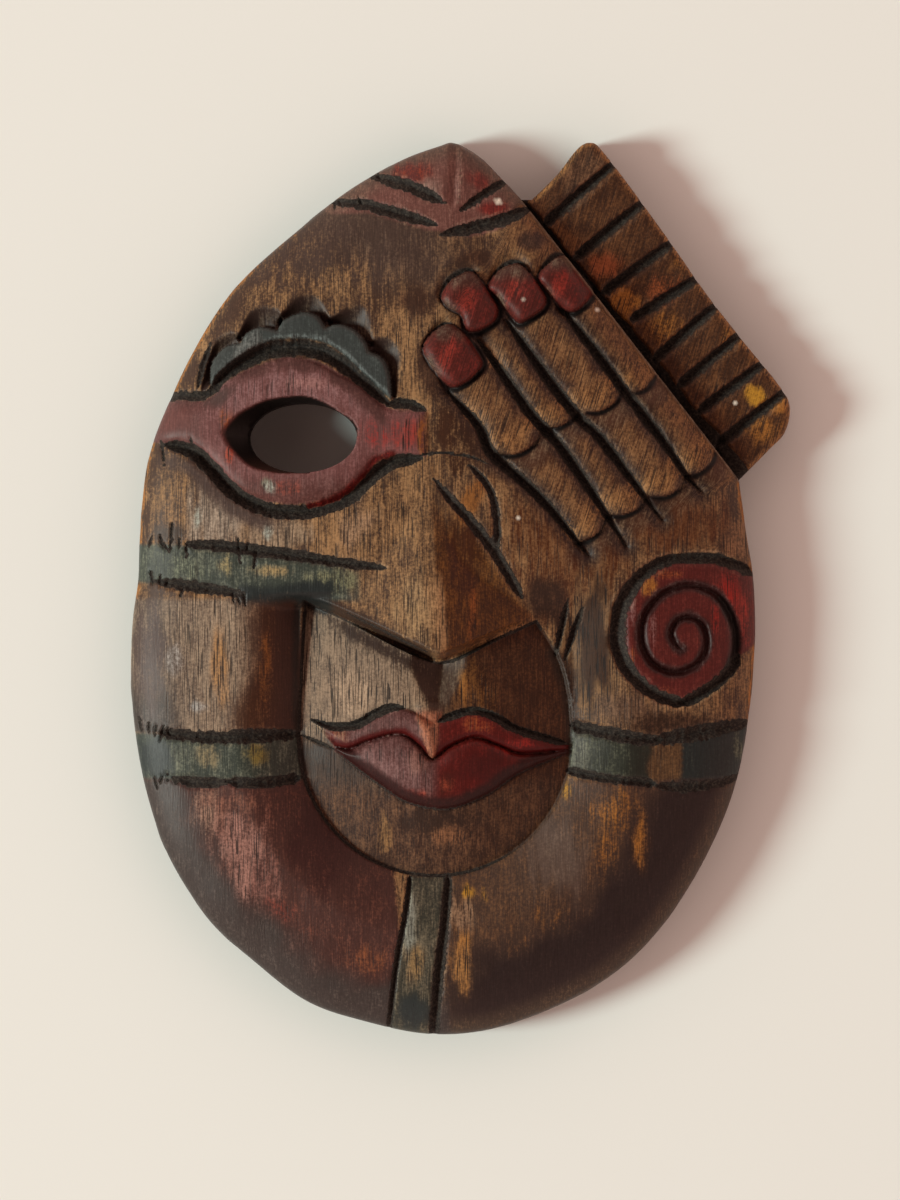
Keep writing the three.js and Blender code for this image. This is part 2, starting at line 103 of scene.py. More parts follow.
# Outlines, seen from the front
HAND_CORNER = (78, 30.5)
CREST_CORNER = (17, 109)
FACE_POINTS = [
    HAND_CORNER, (80, 16.5), (82, 2.5), (82.5, -14.5), (80.5, -37.5), (75.5, -60), (64.5, -83),
    (50.5, -101.5), (33.5, -114), (11, -123), (-8.5, -125), (-28.5, -121), (-43.5, -115.6), (-57.5, -105),
    (-70.5, -93), (-81.5, -76), (-87.5, -59.5), (-91, -42.5), (-92.5, -25.5), (-92, -9), (-90.5, 2.5),
    (-90, 15), (-88, 34.5), (-82.5, 50.5), (-72.5, 71), (-61.4, 86.4), (-44.6, 101.4), (-31, 112), (-17, 120),
    (-6.5, 124), (-1.5, 125), (5.5, 121), (11, 115.5), CREST_CORNER,
]
CREST_POINTS = [
    (20, 109), (22.6, 111.4), (27.5, 116.5), (33, 123.5), (36.5, 125), (39.5, 123), (48, 112), (58.5, 97.5),
    (69, 82.5), (79.5, 69), (88.5, 58), (92.2, 51.5), (91, 44), (86, 38.5), HAND_CORNER,
]


# Lines in the plane

CURVE_STEPS = 14
NOISE_SIZE = 128
# Keeps places in the noise's table positive
NOISE_ORIGIN = 1000


def respaced(line, spacing):
    run = np.concatenate([[0], np.cumsum(abs(np.diff(line)))])
    count = max(2, round(run[-1] / spacing) + 1)
    return np.interp(np.linspace(0, run[-1], count), run, line)


def curve(points, spacing=0.9, closed=False):
    """Evenly spaced points on a smooth curve through the given ones."""
    knots = np.array([complex(*point) for point in points])
    ends = (knots[-1:], knots[:2]) if closed else (knots[:1], knots[-1:])
    padded = np.concatenate([ends[0], knots, ends[1]])
    a, b, c, d = (padded[i:len(padded) - 3 + i, None] for i in range(4))
    t = np.linspace(0, 1, CURVE_STEPS, endpoint=False)
    leave, arrive = (c - a) / 2, (d - b) / 2
    cubic, square = 2 * b - 2 * c + leave + arrive, 3 * c - 3 * b - 2 * leave - arrive
    bent = cubic * t**3 + square * t**2 + leave * t + b
    return respaced(np.append(bent.ravel(), knots[0] if closed else knots[-1]), spacing)


def straight(start, end, spacing=0.9):
    return respaced(np.array([complex(*start), complex(*end)]), spacing)


def to_line(line, p):
    """Distance to the line, 1 left or -1 right of it, and millimetres to its start and to its end."""
    best = np.full(len(p), np.inf)
    side = np.ones(len(p))
    place = np.zeros(len(p))
    run = 0.0
    for start, end in zip(line[:-1], line[1:]):
        step = end - start
        if not step:
            continue
        t = np.clip(((p - start) * step.conjugate()).real / abs(step)**2, 0, 1)
        away = p - start - t * step
        closer = abs(away) < best
        best[closer] = abs(away[closer])
        side[closer] = np.where((away[closer] * step.conjugate()).imag < 0, -1, 1)
        place[closer] = run + t[closer] * abs(step)
        run += abs(step)
    return best, side, place, run - place


def inside(loop, p):
    odd = np.zeros(len(p), bool)
    for a, b in zip(loop, np.roll(loop, -1)):
        if a.imag != b.imag:
            crosses = (a.imag > p.imag) != (b.imag > p.imag)
            odd ^= crosses & (p.real < a.real + (p.imag - a.imag) * (b.real - a.real) / (b.imag - a.imag))
    return odd


def depth_in(loop, p):
    """Distance to a closed line, positive inside."""
    return to_line(np.append(loop, loop[0]), p)[0] * np.where(inside(loop, p), 1, -1)


def near(line, reach, p):
    """Indices of the points within reach of a line's box."""
    return np.flatnonzero(
        (p.real > line.real.min() - reach) & (p.real < line.real.max() + reach)
        & (p.imag > line.imag.min() - reach) & (p.imag < line.imag.max() + reach)
    )


def rising(start, end, value):
    """From 0 to 1, smoothly, as value goes from start to end."""
    t = np.clip((value - start) / (end - start), 0, 1)
    return t * t * (3 - 2 * t)


def bulge(distance, width):
    """A quarter round: 0 at distance 0, 1 from width on."""
    return np.sqrt(1 - (1 - np.clip(distance / width, 0, 1))**2)


def noise(p, width, seed, height=None):
    """Smooth random values from -1 to 1 with bumps of the given width and height."""
    table = np.random.default_rng(seed).uniform(-1, 1, (NOISE_SIZE, NOISE_SIZE))
    u = p.real / width + NOISE_ORIGIN
    v = p.imag / (height or width) + NOISE_ORIGIN
    i, j = np.floor(u).astype(int), np.floor(v).astype(int)
    f, g = rising(0, 1, u - i), rising(0, 1, v - j)
    low, high = (
        table[i % NOISE_SIZE, row % NOISE_SIZE] * (1 - f) + table[(i + 1) % NOISE_SIZE, row % NOISE_SIZE] * f
        for row in (j, j + 1)
    )
    return low * (1 - g) + high * g


# Block

face_spline = curve(FACE_POINTS, RIM_STEP)
hand_edge = straight(CREST_CORNER, HAND_CORNER, RIM_STEP)
face_loop = np.concatenate([face_spline[:-1], hand_edge[:-1]])
crest_spline = curve(CREST_POINTS, RIM_STEP)
whole_loop = np.concatenate([face_spline, crest_spline[:-1]])[::-1]

rim_arms = face_loop - FACE_CENTRE
rim_order = np.argsort(np.angle(rim_arms))
rim_angles = np.angle(rim_arms)[rim_order]
rim_lengths = abs(rim_arms)[rim_order]


def rim_reach(p):
    return np.interp(np.angle(p - FACE_CENTRE), rim_angles, rim_lengths, period=2 * math.pi)


def from_rim(p):
    """Millimetres in from the outline, along the line to the face's centre."""
    return rim_reach(p) - abs(p - FACE_CENTRE)


def face_height(p):
    reach = rim_reach(p)
    length = abs(p - FACE_CENTRE)
    share = np.minimum(length / reach, 1)
    start, full, fading, end = HAND_EDGE_DEGREES
    degrees = np.degrees(np.angle(p - FACE_CENTRE))
    beside_hand = rising(start, full, degrees) * rising(end, fading, degrees)
    across, down = (p - MUZZLE_CENTRE).real, np.minimum((p - MUZZLE_CENTRE).imag, 0)
    from_mouth = np.maximum(np.hypot(across, down), 1)
    slope = 1 - np.clip((from_mouth - MUZZLE_RADIUS) / BAND_SLOPE_WIDTH, 0, 1)
    leftness = np.maximum(-across / from_mouth, 0)
    band_drop = BAND_DROP_RIGHT + (BAND_DROP_LEFT - BAND_DROP_RIGHT) * leftness
    below_top = np.where(across < 0, rising(*BAND_TOP_LEFT, p.imag), rising(*BAND_TOP_RIGHT, p.imag))
    return (
        EDGE_HEIGHT + HAND_EDGE_RISE * beside_hand * share**3
        + ROUNDING_HEIGHT * bulge(np.maximum(reach - length, 0), ROUNDING_WIDTH)
        + DOME_HEIGHT * (1 - share**2)
        - band_drop * slope**1.5 * below_top
    )


def crest_height(p):
    from_edge = to_line(crest_spline, p)[0]
    return CREST_HEIGHT - CREST_BEVEL * (1 - bulge(from_edge, CREST_BEVEL_WIDTH))


def muzzle_height(p):
    across = (p - MUZZLE_TOP).real / MUZZLE_RADIUS
    along = (p - MUZZLE_TOP).imag / MUZZLE_RADIUS
    side_drop = np.where(across < 0, MUZZLE_DROP_LEFT, MUZZLE_DROP_RIGHT)
    end_drop = np.where(along < 0, MUZZLE_DROP_BELOW, MUZZLE_DROP_ABOVE)
    return MUZZLE_HEIGHT - side_drop * abs(across)**1.6 - end_drop * along**2


def plane_height(corners, p):
    rows = [[corner.real, corner.imag, 1] for corner, _ in corners]
    a, b, c = np.linalg.solve(rows, [height for _, height in corners])
    return a * p.real + b * p.imag + c


def nose_height(p):
    left = plane_height([NOSE_BRIDGE, NOSE_LEFT, NOSE_TIP], p)
    right = plane_height([NOSE_BRIDGE, NOSE_TIP, NOSE_RIGHT], p)
    closeness = np.clip(1 - abs(left - right) / RIDGE_WIDTH, 0, 1)
    return np.minimum(left, right) - RIDGE_ROUNDING * closeness**2


# Colours, as they show on a screen

def linear(red, green, blue):
    """A display colour of 0 to 255 as linear light."""
    return np.array([((c / 255 + 0.055) / 1.055)**2.4 for c in (red, green, blue)])


STAIN = linear(62, 43, 32)
DARK_STAIN = linear(42, 28, 22)
RED_STAIN = linear(72, 38, 20)
TAN = linear(140, 104, 68)
GREY_TAN = linear(126, 104, 84)
BROWN = linear(104, 67, 39)
OCHRE = linear(146, 92, 38)
YELLOW = linear(160, 112, 34)
ORANGE = linear(138, 70, 34)
RED = linear(92, 24, 22)
BRIGHT_RED = linear(138, 36, 28)
ORANGE_RED = linear(150, 62, 40)
DEEP_RED = linear(62, 12, 10)
DUSKY_RED = linear(96, 56, 52)
CAP_RED = linear(84, 40, 36)
PINK = linear(126, 88, 82)
GREEN_BLACK = linear(38, 43, 41)
GREEN = linear(50, 54, 46)
PALE_GREEN = linear(106, 106, 88)
CREAM = linear(226, 214, 192)
CHARCOAL = linear(18, 14, 12)
SOOT = linear(30, 25, 22)
GREY_SOOT = linear(62, 54, 46)
# Pale edge beside cuts and on the face's edge: worn paint and painted highlight
WORN_AND_LIT_EDGE = linear(138, 116, 94)


# Carving

class Carving:
    """Heights in millimetres, paint and wear of the carved front at the points p."""

    def __init__(self, p):
        along = complex(*HAND_CORNER) - complex(*CREST_CORNER)
        self.p = p
        self.on_face = ((p - complex(*CREST_CORNER)) * along.conjugate()).imag < 0
        self.z = np.where(self.on_face, face_height(p), crest_height(p))
        self.paint = np.tile(STAIN, (len(p), 1))
        self.bare = np.tile(TAN, (len(p), 1))
        self.wear = np.full(len(p), 0.5)
        self.soot = np.zeros(len(p))
        self.shift = np.zeros(len(p))

    def amounts(self, i, values):
        """The values at the points i, and 0 elsewhere."""
        everywhere = np.zeros(len(self.p))
        everywhere[i] = values
        return everywhere

    # Shape

    def cut(self, line, width, depth, taper=6, lean=0, soot=1, ragged=0.14, edge=0.25, fade=0):
        """A V-shaped cut along a line, narrower at its ends over the length taper.

        Its width may be a list of widths along it, lean moves its lowest line to the left of the line's
        direction, edge wears and lightens the paint beside it as worn edges and painted highlight, and
        fade thins the soot away from its lowest line.
        """
        widest = np.max(width)
        i = near(line, widest, self.p)
        distance, side, past_start, to_end = to_line(line, self.p[i])
        share = past_start / (past_start + to_end)
        width = np.interp(share, np.linspace(0, 1, np.size(width)), np.atleast_1d(width))
        fullness = np.sqrt(np.clip((np.minimum(past_start, to_end) + 0.4) / taper, 0, 1))
        half = width / 2 * fullness * (1 + ragged * noise(self.p[i], 0.8, 11, 3))
        across = side * distance / half
        inward = np.clip(1 - abs(across - lean) / (1 - lean * np.sign(across - lean)), 0, 1)
        self.z[i] -= depth * fullness * width / widest * inward**0.85
        darkness = soot * (1 - fade * rising(0.9, 0.2, inward))
        self.soot[i] = np.maximum(self.soot[i], darkness * rising(1.08, 0.85, abs(across)))
        # Pale rim beside the cut: worn paint and painted highlight
        rim = rising(0.98, 1.1, abs(across)) * rising(1.4, 1.15, abs(across)) * rising(0, 0.5, fullness)
        rim *= edge * np.clip(0.6 + 0.9 * noise(self.p[i], 4, 12), 0, 1)
        self.bare[i] += rim[:, None] * (WORN_AND_LIT_EDGE - self.bare[i])
        self.wear[i] += 0.4 * rim

    def round_off(self, lines, reach, drop, where=1):
        """Rounds the surface down towards lines."""
        i = near(np.concatenate(lines), reach, self.p)
        distance = np.min([to_line(each, self.p[i])[0] for each in lines], axis=0)
        self.z[i] -= drop * (1 - bulge(distance, reach)) * np.broadcast_to(where, self.p.shape)[i]

    def stop_cut(self, line, drop, reach, taper=4):
        """The ground to the right of a line drops at it and rises again over its reach; its deepest part is
        painted black as painted shadow.
        """
        i = near(line, reach + 1, self.p)
        distance, side, past_start, to_end = to_line(line, self.p[i])
        fullness = np.sqrt(np.clip((np.minimum(past_start, to_end) + 0.1) / taper, 0, 1))
        below = -side * distance
        ramp = np.clip(1 - below / (reach * np.maximum(fullness, 0.1)), 0, 1) * rising(-0.15, 0.25, below)
        self.z[i] -= drop * fullness * ramp
        # Painted shadow: black in the deep part of the step
        dark = self.amounts(i, rising(0.2, 0.7, fullness) * rising(0.62, 0.8, ramp))
        self.lay(dark, paint=CHARCOAL, wear=0, soot=0)

    def pad(self, loop, rise, rounding):
        """Raises the ground inside a closed line, rounded at its edge."""
        i = near(loop, 1, self.p)
        self.z[i] += rise * bulge(np.maximum(depth_in(loop, self.p[i]), 0), rounding)

    def scoop(self, loop, edge, depth, soot=0.5):
        """Lowers the ground inside a closed line, most at the edge of the raised form beside it."""
        i = near(loop, 1, self.p)
        inner, outer = depth_in(loop, self.p[i]), -depth_in(edge, self.p[i])
        i, inner, outer = (part[(inner > 0) & (outer > 0)] for part in (i, inner, outer))
        share = inner / (inner + outer)
        self.z[i] -= depth * share**0.8
        self.soot[i] = np.maximum(self.soot[i], soot * rising(0.2, 1, share))

    # Paint

    def lay(self, amount, paint=None, bare=None, wear=None, soot=None):
        """Blends paint, the wood under it, wear and soot towards new values. Tuples are display colours."""
        for value, layer in ((paint, self.paint), (bare, self.bare), (wear, self.wear), (soot, self.soot)):
            if isinstance(value, tuple):
                value = linear(*value)
            if value is not None:
                part = amount[:, None] if layer.ndim == 2 else amount
                layer += part * (value - layer)

    def within(self, loop, blur=0.4, ragged=0.25, seed=41):
        i = near(loop, 3, self.p)
        depth = depth_in(loop, self.p[i]) + ragged * noise(self.p[i], 1.2, seed, 3)
        return self.amounts(i, rising(-blur, blur, depth))

    def beside(self, line, half_width, blur=0.5, ragged=0.3, seed=43):
        i = near(line, half_width + 3, self.p)
        distance = to_line(line, self.p[i])[0] + ragged * noise(self.p[i], 1.2, seed, 3)
        return self.amounts(i, rising(half_width + blur, half_width - blur, distance))

    def spot(self, x, y, half_width, half_height, lean=0, ragged=0.5):
        """A soft ellipse, its edge broken up along the grain. Lean turns it, in degrees."""
        seed = int(abs(x * 7) + abs(y * 13))
        offset = (self.p - complex(x, y)) * np.exp(1j * math.radians(-lean))
        ring = np.hypot(offset.real / half_width, offset.imag / half_height)
        broken = 0.6 * noise(self.p, 1.8, seed, 8) + 0.4 * noise(self.p, 0.9, seed + 1, 3.5)
        return rising(1.2, 0.4, ring + ragged * broken)

    def dab(self, on, x, y, half_width, half_height, wear, bare=None, paint=None, lean=0, ragged=0.5):
        spot = on * self.spot(x, y, half_width, half_height, lean, ragged)
        self.lay(spot, paint=paint, bare=bare, wear=wear)

    def dabs(self, rows, on=1, **shape):
        """Soft ellipses times the amount on: rows of x, y, half width and height, wear, bare, paint, lean."""
        for row in rows:
            self.dab(on, *row, **shape)


def carve(p):
    work = Carving(p)
    for step in (
        plain_wood, forehead, under_eye, right_cheek, nose, nose_grooves, nose_bevel, muzzle, lips,
        lip_grooves, eye_ring, eye_socket, eye_grooves, brow_scoops, brow, cap, fingers, knuckles,
        finger_gaps, nail_ditches, nails, crest, spiral, cheeks, bands, right_band, band_grooves, nicks,
        chin_left, chin_edge, chin_right, chin_band, specks, tool_marks,
    ):
        step(work)
    return work


def plain_wood(work):
    p = work.p
    work.wear += 0.16 * noise(p, 4, 21, 13) + 0.1 * noise(p, 1.6, 22, 9)
    edge = rising(12, 2, np.maximum(from_rim(p), 0)) * work.on_face
    work.wear -= 0.22 * edge
    rim = rising(1.3, 0.4, depth_in(whole_loop, p))
    work.lay(rim, bare=OCHRE, wear=0.62)


def forehead(work):
    """Dark below the cap, lighter beside the brow and the nails."""
    p = work.p
    top = rising(72, 84, p.imag + 0.5 * p.real) * rising(10, -20, p.real) * work.on_face
    work.lay(top, paint=(66, 50, 41), bare=(98, 76, 60), wear=0.3)
    work.dabs([
        (-30, 94, 34, 13, 0.26, None, (64, 48, 40)), (8, 100, 16, 7, 0.36), (-15, 66, 4, 17, 0.58),
        (-12, 50, 4, 7, 0.6), (-34, 86, 5, 5, 0.46), (-55, 80, 4, 3.5, 0.4), (-46, 84, 3, 8, 0.34),
        (-28, 92, 3, 9, 0.42), (-19, 84, 4, 12, 0.38), (-5, 94, 3, 7, 0.42),
        (-4, 43, 5, 8, 0.2, None, (58, 34, 21)), (-8.5, 61, 3.5, 8, 0.26, (96, 64, 42), (56, 36, 26)),
        (-13, 80, 7, 5, 0.26, (96, 64, 42), (56, 36, 26)), (22, 96, 6, 3, 0.26, (96, 64, 42), (56, 36, 26)),
        (5, 91.5, 6, 3, 0.26, (96, 64, 42), (56, 36, 26)),
    ])


def under_eye(work):
    work.dabs([
        (-67, 20, 11, 12, 0.52, (150, 130, 110), (92, 74, 61)),
        (-50, 15, 9, 5, 0.54, (140, 115, 90), (80, 62, 48)),
        (-83, 15, 6, 3.5, 0.25, (98, 80, 64), (58, 45, 36)), (-27, 15, 7, 8, 0.54, (148, 114, 84)),
    ])


def right_cheek(work):
    work.dabs([
        (28, 12, 20, 24, 0.45, BROWN * 0.7 + TAN * 0.3, RED_STAIN), (60, 18, 18, 9, 0.46, BROWN, RED_STAIN),
        (78, 13, 6, 6, 0.58, (132, 96, 66), STAIN), (37, -16, 9, 20, 0.74, (52, 33, 21), (36, 22, 14)),
        (25, -3, 7, 7, 0.32, (78, 50, 33), (44, 27, 18)),
        (60, -38, 16, 4, 0.34, (84, 56, 38), (46, 30, 20)),
        (46, -33, 10, 5, 0.48, GREY_TAN * 0.4 + BROWN * 0.5),
    ])


NOSE_CORNERS = np.array([NOSE_BRIDGE[0], NOSE_LEFT[0], NOSE_TIP[0], NOSE_RIGHT[0]])


def nose(work):
    p = work.p
    sides = respaced(np.append(NOSE_CORNERS, NOSE_CORNERS[0]), 2)
    depth = depth_in(sides[:-1], p)
    above = np.maximum(nose_height(p) - work.z, 0)
    work.z += above * rising(0, 2.5, depth)
    on_nose = rising(-1, 3, depth)
    bridge, tip = NOSE_BRIDGE[0], NOSE_TIP[0]
    right_of_ridge = ((p - bridge) * (tip - bridge).conjugate()).imag / RIDGE_BLUR
    # The right side of the nose is painted darker and redder: redder wood, and painted shade of the side
    # turned from the light
    right = on_nose * rising(-0.4, 1.4, right_of_ridge)
    work.lay(right, paint=(60, 34, 16), bare=(112, 70, 30), wear=0.4)
    work.lay(on_nose - right, paint=STAIN, bare=TAN, wear=0.48)
    work.lay(right * rising(10, 30, p.imag), paint=STAIN, bare=TAN * 0.7, wear=0.4)
    # The row at (-6.5, -8) is a painted highlight along the ridge
    work.dabs([
        (-12, -8, 7, 12, 0.52, (146, 114, 78), (76, 56, 41)),
        (-6.5, -8, 3.4, 11, 0.58, (156, 118, 80), (92, 66, 45)), (-16, 22, 4, 12, 0.52),
        (1, 8, 5, 14, 0.28, None, RED_STAIN * 0.7), (3, -8, 1.6, 9, 0.46, ORANGE * 0.6 + OCHRE * 0.4),
    ])


def nose_grooves(work):
    for points, width, depth, lean, soot in (
        ([(-14, 35.5), (-11, 37), (-5, 37.6), (2.5, 36.6), (8, 34.3)], 1, 0.7, 0, 0.75),
        ([(-7.5, 30.5), (-3, 25), (2.5, 19), (9.5, 10), (17, -2.5)], [2.2, 3.4, 3.4], 1.7, -0.3, 0.9),
        ([(2.1, 34.5), (7.4, 28.5), (9.8, 20.5), (10.1, 10)], 2.2, 1.3, 0.2, 1),
    ):
        work.cut(curve(points), width, depth, lean=lean, soot=soot)
    work.dabs([(3.5, 25, 3, 8, 0.62, OCHRE * 0.5 + BROWN * 0.5, None, -25)])


def nose_bevel(work):
    """Dark paint and a shallow cut along the lower left edge."""
    left_part = rising(-48, -40, work.p.real) * rising(-4, -12, work.p.real)
    bevel = work.beside(moved(NOSE_UNDERSIDE, 1.8), 1.7, blur=1.4) * left_part
    work.lay(bevel, paint=(54, 38, 28), wear=0.1)
    under = curve([(-32, -6.5), (-24, -10.5), (-16, -14.5), (-9, -17.8)])
    work.cut(under, 0.9, 0.6, soot=0.8)


def nose_underside():
    left, tip, right = NOSE_LEFT[0], NOSE_TIP[0], NOSE_RIGHT[0]
    return curve([
        (left.real, left.imag), (-32.5, -8.5), (-17, -16.5), (tip.real - 2, -20.3), (-4, -20.3), (0, -19),
        (11, -13.5), (right.real, right.imag),
    ])


def moved(line, offset):
    """The line moved to the left of its direction."""
    step = np.gradient(line)
    return line + 1j * step / abs(step) * offset


NOSE_UNDERSIDE = nose_underside()

# Wall of the sunk field, and the hollow between nose and lips
MUZZLE_WALL = 0.8
PHILTRUM_DEPTH = 4.6
PHILTRUM_LEFT = 7.6
PHILTRUM_RIGHT = 5


def muzzle_loop():
    turn = np.linspace(math.pi, 2 * math.pi, 60)
    lower = MUZZLE_CENTRE + MUZZLE_RADIUS * np.exp(1j * turn)
    bend = curve([(31.2, -42), (30, -28.5), (27, -18.5), (NOSE_RIGHT[0].real, NOSE_RIGHT[0].imag)])
    return np.concatenate([lower[:-1], bend[:-1], NOSE_UNDERSIDE[::-1][:-1]])


MUZZLE_LOOP = muzzle_loop()


def muzzle(work):
    """The sunk field round the mouth and its dark wall."""
    p = work.p
    i = near(MUZZLE_LOOP, 4, p)
    depth = np.full(len(p), -9.0)
    depth[i] = depth_in(MUZZLE_LOOP, p[i])
    sunk = rising(-MUZZLE_WALL / 2, MUZZLE_WALL / 2, depth)
    work.z += (muzzle_height(p) - work.z) * sunk
    arm = p - MUZZLE_CENTRE
    darkness = 0.45 + 0.5 * rising(0.3, -0.5, (arm.real + 0.6 * arm.imag) / MUZZLE_RADIUS)
    below_nose = np.where(p.real < NOSE_TIP[0].real, 0.6, 0.95)
    darkness = np.where(depth_in(NOSE_CORNERS, p) > -3, below_nose, darkness)
    work.soot = np.maximum(work.soot, darkness * rising(-0.6, -0.1, depth) * rising(0.9, 0.3, depth))
    muzzle_paint(work, sunk)
    philtrum(work, sunk)
    muzzle_marks(work, sunk)
    nose_shade(work, sunk)


def muzzle_paint(work, sunk):
    p = work.p
    across = np.clip((p - MUZZLE_TOP).real / MUZZLE_RADIUS, -1, 1)
    # The left half is painted paler and greyer and the right half darker: painted sheen and painted shade of
    # the slopes turned to and from the light
    work.lay(sunk * rising(0.3, -0.3, across), paint=(72, 54, 42), bare=(134, 110, 88), wear=0.58)
    work.lay(sunk * rising(-0.2, 0.3, across), paint=(50, 27, 16), bare=(84, 50, 28), wear=0.36)
    work.dabs([(4, -29, 6, 9, 0.46, (112, 70, 32))], sunk)
    rim = work.beside(curve([(31.8, -46), (31.2, -38), (29.6, -27), (26, -18)]), 2, blur=1.2)
    work.lay(rim, paint=(42, 27, 19), bare=(68, 47, 34), wear=0.3)
    corner = sunk * rising(-39, -46, p.imag) * rising(-18, -28, p.real)
    work.lay(corner, paint=(40, 30, 25), bare=(66, 52, 43), wear=0.56)
    low = sunk * rising(-50, -60, p.imag)
    work.lay(low, paint=(50, 32, 24), bare=(102, 70, 48), wear=0.42)
    work.lay(low * rising(0, 0.5, across), paint=(52, 32, 22), bare=(90, 59, 38), wear=0.42)
    work.dabs([
        (-7, -64.5, 14, 3.5, 0.24, None, (48, 32, 24)), (-21, -69, 2.4, 7, 0.54, (128, 92, 56)),
    ], low)


def philtrum(work, sunk):
    """A hollow from the nose to the lip, deepest at the nose, with painted shade on its left wall."""
    p = work.p
    line = curve([(-4.6, -17), (-5.4, -24), (-6.9, -36)])
    near_line = near(line, 10, p)
    distance, side, _, to_end = to_line(line, p[near_line])
    fullness = rising(-1, 15, to_end)
    width = 1.2 + np.where(side < 0, PHILTRUM_LEFT, PHILTRUM_RIGHT) * fullness
    hollow = np.clip(1 - distance / width, 0, 1)
    work.z[near_line] -= PHILTRUM_DEPTH * fullness * hollow * sunk[near_line]
    walls = rising(0, 0.15, hollow) * sunk[near_line]
    # Painted shade on the left wall
    work.lay(work.amounts(near_line, walls * (side < 0)), paint=(60, 42, 32), wear=0.1)
    work.lay(work.amounts(near_line, walls * (side > 0)), paint=STAIN, bare=GREY_TAN * 0.6, wear=0.4)
    work.dabs([(0.6, -27, 1.3, 6, 0.72, OCHRE * 0.8 + TAN * 0.2)])


def muzzle_marks(work, sunk):
    # The row at (-40, -46) is painted shade in the hollow below the corner of the mouth
    work.dabs([
        (-30, -29, 6, 6, 0.64, (158, 130, 104)), (-40, -46, 3, 3, 0.3, (80, 66, 56), (46, 36, 30)),
        (-3, -68.5, 6, 3, 0.5, (124, 82, 54), (58, 38, 27)),
    ], sunk)


def nose_shade(work, sunk):
    """Darker paint in the corner below the nose's left wing."""
    p = work.p
    shaded = sunk * work.beside(moved(NOSE_UNDERSIDE, -2.4), 1.8, blur=1.6) * rising(-6, -11, p.real)
    work.lay(shaded * rising(-40, -30, p.real), paint=(50, 34, 26), wear=0.22)


LIP_TOP = curve([
    (-42, -36.5), (-36, -38.5), (-29, -38), (-24, -35), (-18, -33), (-12, -35), (-8, -37.5), (-4, -36),
    (3, -34), (9, -35.5), (15, -39), (23, -41.5), (30, -43.5),
])
LIP_MIDDLE = curve([
    (-35, -44), (-31, -44.7), (-25.5, -42.5), (-17, -40.5), (-12, -43.5), (-8, -47.5), (-3, -44),
    (4, -41.5), (10, -43.5), (17, -46), (30, -45),
])
LIP_BOTTOM = curve([
    (-35, -45.2), (-29.5, -49.7), (-23, -54.5), (-14.5, -59.7), (-3.5, -61.4), (7.5, -57.5), (16.5, -51.5),
    (30, -46),
])


def lips(work):
    p = work.p
    upper = np.concatenate([LIP_TOP, LIP_MIDDLE[::-1]])
    lower = np.concatenate([LIP_MIDDLE, LIP_BOTTOM[::-1]])
    red = np.maximum(work.within(upper), work.within(lower)) * rising(-39, -35.5, p.real)
    work.pad(upper, rise=2.0, rounding=3)
    work.pad(lower, rise=3.0, rounding=4.8)
    work.lay(red, paint=(74, 18, 14), bare=(104, 30, 24), wear=0.3)
    left = red * rising(-5, -9, p.real + 0.6 * noise(p, 1.5, 92, 6))
    work.lay(left, paint=(74, 42, 38), bare=(106, 72, 67), wear=0.44)
    work.dabs([
        (-22, -50, 11, 5, 0.5, (116, 84, 79), (86, 52, 48)),
        (-12, -48, 4, 4, 0.56, (128, 90, 80), (90, 58, 50)),
        (-34, -41.5, 3, 4, 0.5, TAN * 0.6 + PINK * 0.4, RED),
    ], left)
    work.dabs([
        (-3.5, -54, 3, 4.5, 0.36, (128, 54, 34), (66, 22, 16)),
        (7, -50, 9, 5, 0.2, (84, 26, 21), (64, 18, 15)), (-15, -57.5, 6, 2, 0.5, ORANGE_RED, RED),
        (5, -38, 5, 3, 0.46, ORANGE, RED), (16, -44, 8, 2, 0.55, BRIGHT_RED, RED),
    ], red)
    # Painted shade on the underside of the lower lip
    shaded_underside = red * work.beside(LIP_BOTTOM, 3.4, blur=0.8)
    work.lay(shaded_underside, paint=(40, 13, 11), bare=(62, 28, 23), wear=0.26)
    # Painted shade: dark red along the mouth line, under the upper lip
    work.lay(red * work.beside(moved(LIP_MIDDLE, 0.9), 0.9, blur=0.5), paint=(70, 13, 11), wear=0.1)


def lip_grooves(work):
    work.cut(LIP_TOP[:32], [1.8, 2.8, 2.6], 1.5, taper=4)
    work.cut(LIP_TOP[43:], [2.4, 2.6, 2], 1.5, taper=4)
    work.cut(LIP_MIDDLE, 1.5, 1.2, soot=0.25, edge=0)
    work.cut(LIP_BOTTOM, 0.9, 0.4, soot=0.6, edge=0)
    work.cut(curve([(-44.5, -41), (-39.5, -43), (-35, -45)]), 1.5, 0.9, soot=0.9, edge=0)
    drop = curve([(-12, -31.5), (-5.5, -31.5), (-6, -38), (-7.6, -47.8), (-11.5, -39)], closed=True)[:-1]
    work.pad(drop, rise=0.9, rounding=2.5)
    painted = work.within(drop) * rising(-33, -35, work.p.imag)
    work.lay(painted, paint=(84, 46, 32), bare=(150, 92, 66), wear=0.54)


